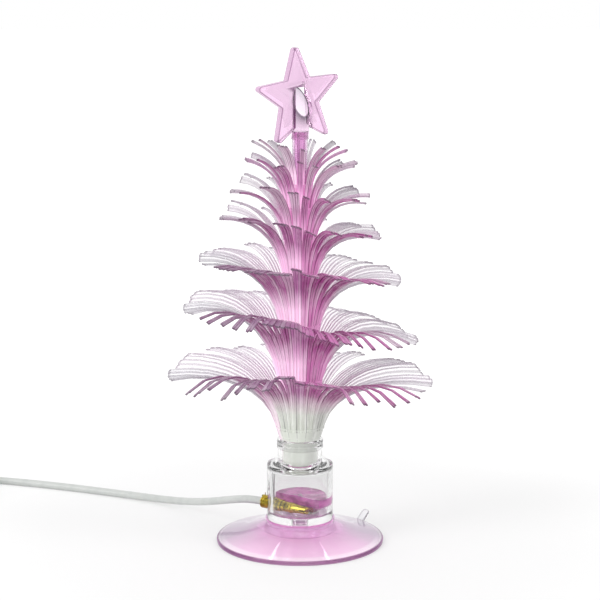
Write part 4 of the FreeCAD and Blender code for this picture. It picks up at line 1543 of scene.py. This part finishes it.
@dataclass
class Spray(Assembly):
    """One tier of moulded fibres on its round root.

    fibre_rise, blade_rise and jitter are full ranges of chance. droop is a least value and what chance
    adds to it. flares are the front's and that of all else.
    """

    tier: int
    fibres: int
    root: tuple
    knee: float
    bend: tuple
    tip: tuple
    lean: float
    lift: float
    back: float
    flares: tuple
    seat: float
    look: FibreLook = FibreLook()
    fibre: float = 1.0
    thick: float = 0.8
    gap: float = 0.08
    shares: tuple = (2, 2, 3, 2, 1, 3, 2, 2)
    stations: int = 8
    knee_swell: float = 1.04
    front_reach: float = 0.68
    back_reach: float = 0.63
    side_sweep: float = 1.5
    front_trim: float = 0.30
    back_rise: float = 2.8
    jitter: float = 0.16
    shortening: float = 0.02
    end_bevel: float = 0.35
    end_narrow: float = 0.72
    dive: float = 1.0
    blade_rise: float = 2.4
    fibre_rise: float = 1.4
    calm_front: float = 0.85
    calm_span: Span = (0.75, 0.95)
    part: float = 0.3
    sag: float = 0.9
    front_flare: float = 0.2
    finger_tiers: tuple = (1.0, 1.0, 0.25, 0.0, 0.0, 0.0, 0.0)
    finger_from: Span = (0.15, 0.35)
    finger_until: Span = (0.82, 0.94)
    finger_thin: float = 0.6
    arch: float = 2.2
    droop: Span = (2.6, 4.0)
    right_droop: float = 3.0
    root_wall: float = 1.3
    root_fluting: float = 0.16
    root_taper: float = 0.9
    # painted glow: the height below which the root glows more
    root_painted_glow_top: float = 38.3
    plug_foot: float = 7.3
    plug_seat: float = 28.2
    plug_radii: Span = (6.35, 5.25)
    seat_radii: Span = (3.85, 2.75)

    def curve(self, t: Numbers) -> tuple[Numbers, Numbers]:
        """The tier's cubic curve of root, a slightly wider root at the knee's height, bend and tip.

        Args:
            t: Shares of the curve, 0 to 1.

        Returns:
            Radius and height at each.
        """
        weights = ((1 - t) ** 3, 3 * t * (1 - t) ** 2, 3 * t * t * (1 - t), t ** 3)
        radii = (self.root[0], self.root[0] * self.knee_swell, self.bend[0], self.tip[0])
        heights = (self.root[1], self.knee, self.bend[1], self.tip[1])
        return sum(w * r for w, r in zip(weights, radii)), sum(w * z for w, z in zip(weights, heights))

    def mouth(self) -> tuple[float, float, float]:
        """Where the root is wide enough for its fibres to part.

        Returns:
            The share of the curve, and the radius and height there.
        """
        room = self.fibres * (self.fibre + self.gap) / (2 * math.pi)
        steps = np.arange(0, 1, 0.005)
        wide_enough = self.curve(steps)[0] >= max(room, self.root[0] + self.root_wall / 2)
        share = float(steps[np.argmax(wide_enough)])
        return share, *self.curve(share)

    def hashed(self, i: float, salt: float = 0.0) -> float:
        """A fixed number from 0 to 1 for blade or fibre i of this tier."""
        value = math.sin(i * 12.9898 + (self.tier - 1 + salt) * 78.233) * 43758.5453
        return value - math.floor(value)

    def sheet_tone(self, x: np.ndarray, y: np.ndarray, t: np.ndarray, side: np.ndarray) -> np.ndarray:
        """The tone of every tier alike, by direction and share of the fibre.

        Pale pink at the root, saturated half way out on both sides of the middle, mauve at the left ends,
        bright pink at the right ends, a painted silver sheen where a sheet is seen edge on, clear behind.

        Args:
            x: How far to the right the fibre points, -1 to 1.
            y: How far behind.
            t: Shares of the fibre, 0 at the root.
            side: 1 where the sheet is seen edge on.

        Returns:
            Colours with a last axis of 3.
        """
        look = self.look
        near = weigh(step_up(x, *look.rosy_near_right), look.soft, look.rosy)
        right = weigh(step_up(x, *look.lilac_right), look.lilac, look.deep)
        middle = weigh(step_up(x, *look.plum_right), look.plum, right)
        far = weigh(step_up(x, *look.rosy_far_right), look.mauve, look.rosy)
        front = weigh(step_up(t, *look.middle_way), near, middle)
        front = weigh(step_up(t, *look.end_way), front, far)
        # painted sheen where the sheet is seen edge on
        front = weigh(side * look.edge_on_sheen_share, front, look.edge_on_sheen)
        behind = weigh(step_up(x, *look.smoke_right) * look.smoke_share, look.clear, look.smoke)
        behind = weigh(step_up(t, *look.behind_way), look.soft, behind)
        return weigh(step_up(y, *look.behind), front, behind)

    def tint(
        self, angle: Numbers, t: np.ndarray, z: np.ndarray,
    ) -> tuple[np.ndarray, np.ndarray, np.ndarray]:
        """Colour, cover and greyness by direction from the stem, share of the fibre and height.

        Upper tiers are pinker in front and the top one is whiter on the left. The lowest is bare
        grey-white at the bottom. Fibres thin out towards their ends, and those behind are thinner.

        Args:
            angle: Directions in degrees, -90 to the front.
            t: Shares of the fibre, 0 at the root.
            z: Heights.

        Returns:
            Colours with a last axis of 3, covers and greyness in the arguments' shape.
        """
        angle, t, z = np.broadcast_arrays(np.asarray(angle, float), t, z)
        x, y = np.cos(np.radians(angle)), np.sin(np.radians(angle))
        look = self.look
        side = step_up(np.abs(x), *look.edge_on) * step_up(t, *look.edge_on_way)
        back = step_up(y, *look.behind)
        ahead = look.front_cover[0] - look.front_cover[1] * step_up(t, *look.front_cover_way)
        behind = look.back_cover[0] - look.back_cover[1] * step_up(t, *look.back_cover_way)
        cover = (ahead * (1 - back) + behind * back) * (1 - look.edge_on_thin * side)
        grey = np.maximum(look.behind_grey * back, side)
        high = max(0.0, self.tier - 3) / 4
        colour = self.sheet_tone(x, y, t, side)
        colour = weigh(high * look.blush_share * (1 - back), colour, look.blush)
        if self.tier == 7:
            colour = weigh(look.white_share * step_up(-x, *look.white_left), colour, WHITE)
        if self.tier == 1:
            left = step_up(-x, *look.bare_left) * (z > look.bare_left_floor)
            bare = look.low(z) * (1 - look.bare_left_loss * left)
            milky = weigh(step_up(x, *look.dull_right), look.milk, look.dull_milk)
            colour = weigh(bare, colour, milky)
            grey = np.maximum(grey, bare)
        return colour, cover, grey

    def spread(self, i: int, angle: np.ndarray) -> tuple[np.ndarray, np.ndarray]:
        """How far fibres go from the root's wall in plan, and how far their ends are bent up.

        The side reach times the cosine to the power of the sweep, by the front or back reach times the
        sine. A front fibre is cut short, and a blade between the main directions is shorter by chance.

        Args:
            i: The blade's number.
            angle: Directions in degrees.

        Returns:
            The way in x and y, angles by 2, and the bends.
        """
        _, wall_r, _ = self.mouth()
        cosine, sine = np.cos(np.radians(angle)), np.sin(np.radians(angle))
        front = np.maximum(0.0, -sine)
        depth = np.where(sine > 0, self.back_reach, self.front_reach)
        sweep = np.copysign(np.abs(cosine) ** self.side_sweep, cosine)
        run = np.stack([sweep * self.tip[0] - cosine * wall_r, sine * (depth * self.tip[0] - wall_r)], -1)
        chance = 1 - self.jitter * self.hashed(i) * np.abs(2 * sine * cosine)
        trim = (1 - self.front_trim * front ** 6) * chance
        raised = self.back * np.minimum(1.0, self.back_rise * np.maximum(0.0, sine))
        return run * trim[:, None], self.lift * front ** 2 + raised - self.lean * cosine

    def finger(self, strand: Strand) -> float:
        """How much of a thin drooping finger it is: in front but for the middle, on the lowest tiers.

        Args:
            strand: The strand.

        Returns:
            0 to 1.
        """
        front = strand.front()
        share = step_up(front, *self.finger_from) * (1 - step_up(front, *self.finger_until))
        return share * self.finger_tiers[self.tier - 1]

    def loose(self, strand: Strand) -> float:
        """How freely the fibres of an upper tier stand apart, less so in the very front."""
        return (self.tier > 3) * (1 - self.calm_front * step_up(strand.front(), *self.calm_span))

    def profile(self, strand: Strand, reach: float) -> tuple[np.ndarray, np.ndarray, np.ndarray]:
        """The strand seen from the side, one row for each station and one inside the root's wall.

        Blades and fibres end a little short and high or low by chance, and the last two rows make a
        bevelled end. A finger arches and hooks down by the seventh power of the distance.

        Args:
            strand: The strand.
            reach: How far its fibre goes from the wall in plan.

        Returns:
            Shares of the way, shares of the reach, and heights.
        """
        i, fibre = strand.blade, strand.fibre()
        mouth, wall_r, wall_z = self.mouth()
        share = np.append(np.linspace(0, 1, self.stations + 1) ** 0.9, 1.0)
        share[-2] = 1.0 - self.end_bevel / max(reach, 4.0)
        short = self.shortening * self.hashed(i * 7 + fibre, 0.5)
        share = share * (1 - short - self.shortening * self.hashed(i * 11 + strand.number, 0.2))
        radius, height = self.curve(mouth + (1 - mouth) * share)
        out = (radius - wall_r) / (self.tip[0] - wall_r)
        droop = self.droop[0] + self.droop[1] * self.hashed(i * 3 + fibre, 0.3)
        droop = droop + self.right_droop * (self.tier == 1 and strand.angle > -90)
        hook = self.finger(strand) * (self.arch * share ** 2 - droop * share ** 7)
        z = height + self.blade_rise * (self.hashed(i, 0.9) - 0.5) * share + hook
        out, z, share = np.insert(out, 0, 0.0), np.insert(z, 0, wall_z - self.dive), np.insert(share, 0, 0.0)
        rise = self.fibre_rise * (self.hashed(i * 3 + fibre, 0.8) - 0.5)
        return share, out, z + rise * share * self.loose(strand)

    def plan(
        self, strand: Strand, angles: np.ndarray, run: np.ndarray, share: np.ndarray, out: np.ndarray,
    ) -> np.ndarray:
        """The strand seen from above: its two edges and its middle in each row.

        Rays leave the wall in the given directions. They are drawn to the blade's own middle until
        the blade has its own width, which grows evenly outward by the tier's flare, and then to the
        fibre's middle where it is a finger or stands apart. The end is narrower.

        Args:
            strand: The strand.
            angles: Directions of edge, middle, edge, the fibre's middle, and the blade's middle and edge.
            run: The whole way in plan in each direction.
            share: Shares of the way, one for each row.
            out: Shares of the reach.

        Returns:
            Rows by 3 by 2.
        """
        _, wall_r, _ = self.mouth()
        foot = wall_r * np.stack([np.cos(np.radians(angles)), np.sin(np.radians(angles))], -1)
        line = foot[None] + out[:, None, None] * run[None]
        flare = self.flares[0] if strand.front() > self.front_flare else self.flares[1]
        wide = strand.count * self.fibre / 2 * (1 + flare * share)
        room = np.linalg.norm(line[:, 5] - line[:, 4], axis=1)
        close = np.minimum(1.0, wide / np.maximum(room, 0.1))[:, None, None]
        line = line[:, 4:5] + close * (line - line[:, 4:5])
        fill = 1 - self.finger(strand) * self.finger_thin * step_up(share, 0.25, 0.6)
        fill = fill - self.part * step_up(share, 0.3, 0.7) * self.loose(strand)
        flat = line[:, 3:4] + fill[:, None, None] * (line[:, :3] - line[:, 3:4])
        flat[-1] = flat[-1, 1] + self.end_narrow * (flat[-1] - flat[-1, 1])
        return flat

    def strand_values(
        self, strand: Strand, share: np.ndarray, z: np.ndarray, half: np.ndarray, corner: np.ndarray,
    ) -> dict[str, Numbers]:
        """What the fibres' finish reads at each point of a strand.

        Args:
            strand: The strand.
            share: Shares of the way, one for each row.
            z: Heights of the rows.
            half: Half the strand's width in each row, as a column.
            corner: Which of edge, middle and edge each of the six columns is.

        Returns:
            The named values, each spread over the rows and the six columns by the shape.
        """
        i, n, look = strand.blade, strand.number, self.look
        colour, cover, grey = self.tint(strand.angle, share, z)
        chance = self.hashed(i * 5 + n, 0.7)
        colour = np.clip(colour * (look.brightness[0] + look.brightness[1] * chance), 0, 1)
        # painted highlight: some strands, and some blades of the upper tiers, are mixed towards white
        blade_highlight = look.highlight_blade * (self.tier > 4) * (self.hashed(i, 0.6) > 0.6)
        pale = look.highlight_strand * (chance > 0.8) + blade_highlight * step_up(share, *look.highlight_way)
        colour = weigh(pale, colour, WHITE)
        dull = look.finger_grey[0] if strand.right() < 0 else look.finger_grey[1]
        grey = np.maximum(grey, self.finger(strand) * step_up(share, *look.finger_way) * dull)
        parted = look.parting * (1 - step_up(share, *look.parting_way))[:, None]
        veiled = look.veil * (self.tier == 1) * look.low(z)[:, None] * (self.hashed(i * 3 + n, 0.4) < 0.75)
        # painted glow: strongest at the root, less on the right, none for blades pointing back, weak on the
        # lowest tier
        glow = 1 - step_up(share, *look.glow_way)
        glow = glow * (1 - look.glow_right_loss * step_up(strand.right(), *look.glow_right))
        glow = glow * (look.lowest_glow if self.tier == 1 else 1.0)
        inner = (corner == (2 if strand.side() == 0 else 0)) * 1.0
        glow = glow * (math.sin(math.radians(strand.angle)) < 0.1)
        cap = np.zeros_like(share)
        cap[-1] = 1.0
        return {
            "tint": colour[:, None], "cover": cover[:, None], "grey": grey[:, None], "cap": cap[:, None],
            "glow": glow[:, None], "rim": half * (corner == 1) + parted * inner + veiled,
            "fold": half * (corner != 1) + parted}

    def strand_grid(self, strand: Strand) -> tuple[np.ndarray, dict[str, Numbers]]:
        """A flattened hexagon carried along the tier's curve.

        A blade's fibres lie side by side, each made of two strands. A strand fills the room between the
        curves of its two edge directions, so that the sheet is closed. Its edges are thinner than its
        middle, which makes a ridge on each strand and a groove between two. A blade's outer strands
        hang lower.

        Args:
            strand: The strand.

        Returns:
            The grid and its values.
        """
        angle, count = strand.angle, strand.count
        half = 180.0 / self.fibres
        middle = angle + (2 * strand.fibre() + 1 - count) * half
        across = np.array([-1.0, -0.5, 0.0]) + strand.side()
        angles = np.append(middle + half * np.append(across, 0.0), [angle, angle + count * half])
        run, bend = self.spread(strand.blade, angles)
        reach = float(np.hypot(*run[3]))
        share, out, z = self.profile(strand, reach)
        flat = self.plan(strand, angles, run, share, out)
        ahead = np.stack([np.gradient(out * reach), np.gradient(z + bend[3] * share)], -1)
        ahead /= np.linalg.norm(ahead, axis=1, keepdims=True)
        corner = np.array([0, 1, 2, 2, 1, 0])
        lift = np.array([-0.5, -1.0, -0.5, 0.5, 1.0, 0.5]) * self.thick / 2
        way = run[3] / reach
        level = flat[:, corner] - (lift * ahead[:, 1:])[..., None] * way
        outer = ((2 * strand.number + 1) / (2 * count) - 1) ** 2
        sag = -self.sag * outer * (1 - strand.front()) ** 2 * share
        up = (z + sag)[:, None] + share[:, None] * bend[corner] + lift * ahead[:, :1]
        width = np.linalg.norm(flat[:, 2] - flat[:, 0], axis=1)[:, None]
        values = self.strand_values(strand, share, z, width / 2, corner)
        return np.concatenate([level, up[..., None]], -1), values

    def root_grid(self) -> tuple[np.ndarray, dict[str, Numbers]]:
        """The fluted round root, narrower at its foot, every second column in by half a groove.

        The lowest tier's root is the plug in the cup's neck. Every other stands on the root below.

        Returns:
            The grid and its values.
        """
        _, wall_r, top = self.mouth()
        outer, inner = wall_r + self.root_wall / 2 - 0.15, wall_r - self.root_wall / 2
        low = self.root[1]
        plug = self.tier == 1
        wide, bore = self.plug_radii if plug else self.seat_radii
        seat = self.plug_seat if plug else self.seat
        shelf, floor = (0.05, 1.2) if plug else (0.0, 2.0)
        bottom = [(wide, low + shelf), (wide, seat), (bore, seat), (bore, low + floor)]
        foot = self.plug_foot if plug else outer - self.root_taper
        wall = [(foot + (outer - foot) * n, low + 0.05 + (top - low - 0.05) * n)
                for n in np.linspace(0, 1, 6)[::-1]]
        lip = [(inner, low + floor), (inner, top), ((inner + outer) / 2, top + 0.12)]
        grid = lathe(np.array(lip + wall + bottom), 2 * self.fibres)
        flute = np.tile([1.0, 0.0], self.fibres)
        fluted = np.zeros((len(grid), 1))
        fluted[2:9] = 1.0
        r = np.hypot(grid[..., 0], grid[..., 1])
        grid[..., :2] *= (1 - self.root_fluting * fluted * flute / r)[..., None]
        angle = np.degrees(np.arctan2(grid[..., 1], grid[..., 0]))
        tint, _, grey = self.tint(angle, np.zeros(angle.shape), grid[..., 2])
        # painted shade: dark lines along the root's flutes
        rim = 0.55 * (1 - fluted * flute) + 0.16 * (np.arange(2 * self.fibres) % 6 < 4)
        # painted glow: the shank in the cup's neck glows more than the rest of the root
        glow = 0.1 + 0.8 * (grid[..., 2] < self.root_painted_glow_top)
        return grid, {
            "tint": tint, "cover": 0.9, "grey": grey, "rim": rim, "fold": 9.0, "cap": 0.0, "glow": glow}

    def build(self, finish: bpy.types.Material) -> None:
        """All the tier's fibres and its root as one piece.

        Args:
            finish: The fibres' material.
        """
        shape = Shape("tint", "cover", "grey", "rim", "fold", "cap", "glow")
        grid, values = self.root_grid()
        shape.grid(grid, closed=True, **values)
        step, used, i, k = 360.0 / self.fibres, 0, 0, self.tier - 1
        while used < self.fibres:
            count = min(self.shares[(i + k) % len(self.shares)], self.fibres - used)
            angle = step * (used + (count - self.shares[k % len(self.shares)]) / 2)
            for n in range(2 * count):
                grid, values = self.strand_grid(Strand(i, angle, count, n))
                shape.grid(grid, ends=True, **values)
            used += count
            i += 1
        piece = shape.mesh(f"fibres_{self.tier}", weld=False, sharp=70.0)
        slot = "fibre_pale" if self.tier == 1 else "fibre_pink"
        self.dress(piece, Body.TREE, finish, slot, f"spray_{self.tier}")


@dataclass
class Tree(Assembly):
    """The seven tiers, from the cup's neck to the top. A row holds a spray's sizes, fibres to flares."""

    tiers: tuple = (
        (48, (7.6, 38.0), 52.0, (22.0, 63.0), (48.5, 59.0), 2.0, 5.0, 6.0, (4.0, 3.0)),
        (44, (6.5, 50.0), 70.0, (18.0, 87.0), (42.6, 78.5), 6.0, 2.0, 5.0, (4.0, 3.0)),
        (40, (6.0, 72.0), 89.0, (17.0, 102.0), (36.5, 98.4), 3.2, 2.0, 4.0, (2.6, 2.7)),
        (34, (5.0, 90.0), 105.0, (13.0, 116.5), (29.2, 114.1), 3.9, 2.0, 3.5, (1.2, 1.4)),
        (30, (4.7, 104.0), 116.0, (11.0, 127.0), (24.8, 125.9), 2.3, 2.0, 3.0, (0.5, 0.8)),
        (26, (4.2, 115.0), 126.0, (9.0, 135.0), (20.2, 136.1), 1.3, 1.5, 2.0, (0.2, 0.4)),
        (22, (3.5, 124.0), 134.0, (8.6, 140.0), (17.1, 142.8), 1.2, 1.0, 1.0, (0.15, 0.3)),
    )
    first_seat: float = 46.0
    root_floor: float = 2.0

    def build(self) -> None:
        """Builds the tiers from the lowest, each seated on the one below."""
        finish = FibreFinish("clear fibre").material()
        seat = self.first_seat
        for n, sizes in enumerate(self.tiers):
            Spray(n + 1, *sizes, seat=seat).build(finish)
            seat = self.first_seat if n == 0 else sizes[1][1] + self.root_floor


# ---------------------------------------------------------------- star


@dataclass
class Topper(Assembly):
    """The clear pink star and the slanted socket that carries it."""

    radius: float = 18.4
    inner: float = 8.2
    thick: float = 3.0
    tip: float = 1.1
    turn: float = 35.0
    lean: float = 5.3
    height: float = 159.3
    shift: float = -0.7
    socket: float = 3.15
    clearance: float = 0.05
    socket_foot: float = 144.9
    socket_top: float = 163.0
    grip: float = 2.7
    slant: float = 10.5
    bore: float = 2.75
    slit: float = 1.2
    slit_length: float = 6.2
    slit_angle: float = 70.0

    def outline(self) -> np.ndarray:
        """Ten corners, 36 degrees apart, out and in by turns, with round tips and round hollows.

        Returns:
            The outline in the star's own plane, n by 2.
        """
        a = np.radians(90 + 36 * np.arange(10))
        r = np.where(np.arange(10) % 2 == 0, self.radius + self.tip, self.inner)
        fillet = np.where(np.arange(10) % 2 == 0, self.tip, 0.5)
        return rounded(list(zip(r * np.cos(a), r * np.sin(a), fillet)), 6)

    def upright(self, flat: np.ndarray, level: np.ndarray, lean: float, shift: float = 0.0) -> np.ndarray:
        """Stands outlines from the star's own plane up in its place.

        Args:
            flat: Outlines, levels by points by 2, or one for all levels.
            level: How far each lies from the middle plane.
            lean: Degrees that they are turned in their plane.
            shift: How far they lie to one side of the stem.

        Returns:
            A grid, levels by points by 3.
        """
        plan = turned((flat[..., 0], flat[..., 1], 0 * flat[..., 0]), lean)
        y = level[:, None] + 0 * plan[..., 0]
        return turned((plan[..., 0] + shift + 0 * y, y, plan[..., 1] + self.height + 0 * y), self.turn)

    def star(self) -> Shape:
        """The outline carried through the thickness, each level in by its own inset for round edges.

        The edge value marks a band of painted dark outline along the rim of both faces.

        Returns:
            The star.
        """
        line = self.outline()
        ahead = np.roll(line, -1, 0) - np.roll(line, 1, 0)
        ahead /= np.linalg.norm(ahead, axis=1, keepdims=True)
        inward = np.stack([-ahead[:, 1], ahead[:, 0]], -1)
        half = self.thick / 2
        inset = np.array([0.5, 0.3, 0.12, 0.0, 0.0, 0.12, 0.3, 0.5])
        level = np.array([-half, -half, -half + 0.12, -half + 0.45, half - 0.45, half - 0.12, half, half])
        # painted shade: a dark outline band at the rounded rims of both faces
        edge = np.array([0.0, 0.3, 1.0, 0.45, 0.45, 1.0, 0.3, 0.0])
        flat = line[None] + inward[None] * inset[:, None, None]
        grid = self.upright(flat, level, self.lean, self.shift)
        return Shape("edge").grid(grid, ends=True, edge=edge[:, None])

    def cutters(self) -> list[bpy.types.Object]:
        """The room for the socket and the slit above it.

        Returns:
            The two, to be cut out of the star.
        """
        wide = self.socket + self.clearance
        room = lathe(np.array([[wide, self.socket_foot - 5], [wide, self.socket_top]]), 48)
        half, straight = self.slit / 2, self.slit_length - self.slit / 2
        plan = np.array([[0, -half], [straight, -half], [self.slit_length, 0], [straight, half], [0, half]])
        slit = self.upright(plan, np.array([-self.thick, self.thick]), self.slit_angle)
        return [Shape().grid(room, ends=True).mesh("room"), Shape().grid(slit, ends=True).mesh("slit")]

    def cap(self) -> Shape:
        """The socket: a turned cap cut at a slant, its top at low + slant (y + R) / 2R in its own turn.

        Returns:
            The socket.
        """
        a = circle(64)
        across = np.sin(a - math.radians(self.turn))
        foot, low = self.socket_foot, self.socket_top - self.slant
        wall = ((0.0, self.grip), (self.bore, self.grip), (self.bore, 0.0), (self.socket - 0.15, 0.0),
                (self.socket, 0.15), (self.socket, 3.3), (self.socket, 3.5))
        rows = [ring(r, foot + z, a) for r, z in wall]
        for share in (1.0, 0.92, 0.84, 0.4, 0.0):
            top = low + (share * across + 1) / 2 * self.slant
            rows.append(ring(self.socket * share, top - 0.06 * (share == 1.0), a))
        # painted shade: the rim of the slanted top is marked dark
        edge = np.array([0, 0, 0, 0.2, 0.1, 0, 0, 1.0, 1.0, 0, 0, 0])
        # painted highlight: the slanted face is marked to glow
        face = np.array([0, 0, 0, 0, 0, 0, 0, 0, 0, 0.9, 0.9, 0.9])
        return Shape("edge", "face").grid(np.stack(rows), edge=edge[:, None], face=face[:, None])

    def build(self) -> None:
        """Star and socket."""
        pink = ClearFinish(
            "clear pink star", linear(248, 212, 241), linear(96, 48, 92), clear=0.9, bend=1.12,
            wave=0.00004, rim_start=0.75).material()
        piece = self.star().mesh("star_plate")
        for tool in self.cutters():
            cut(piece, tool)
        self.dress(piece, Body.TOPPER, pink, "clear_pink_star", "star")
        clear = ClearFinish(
            "clear socket", linear(244, 214, 238), linear(80, 70, 84), roughness=0.04, clear=0.9,
            wave=0.00001, rim_start=0.75).material()
        self.dress(self.cap().mesh("socket_cap"), Body.TOPPER, clear, "clear_socket", "star_socket")


def main() -> None:
    """Builds the studio and the lamp's sub-assemblies in order."""
    logging.basicConfig(level=logging.INFO, format="%(name)s: %(message)s")
    Studio().build()
    cord = Cord()
    cord.build()
    cord.build_plug()
    SuctionFoot().build()
    BaseCup().build()
    LeadFitting().build()
    Stem().build()
    Tree().build()
    Topper().build()


if __name__ == "__main__":
    main()
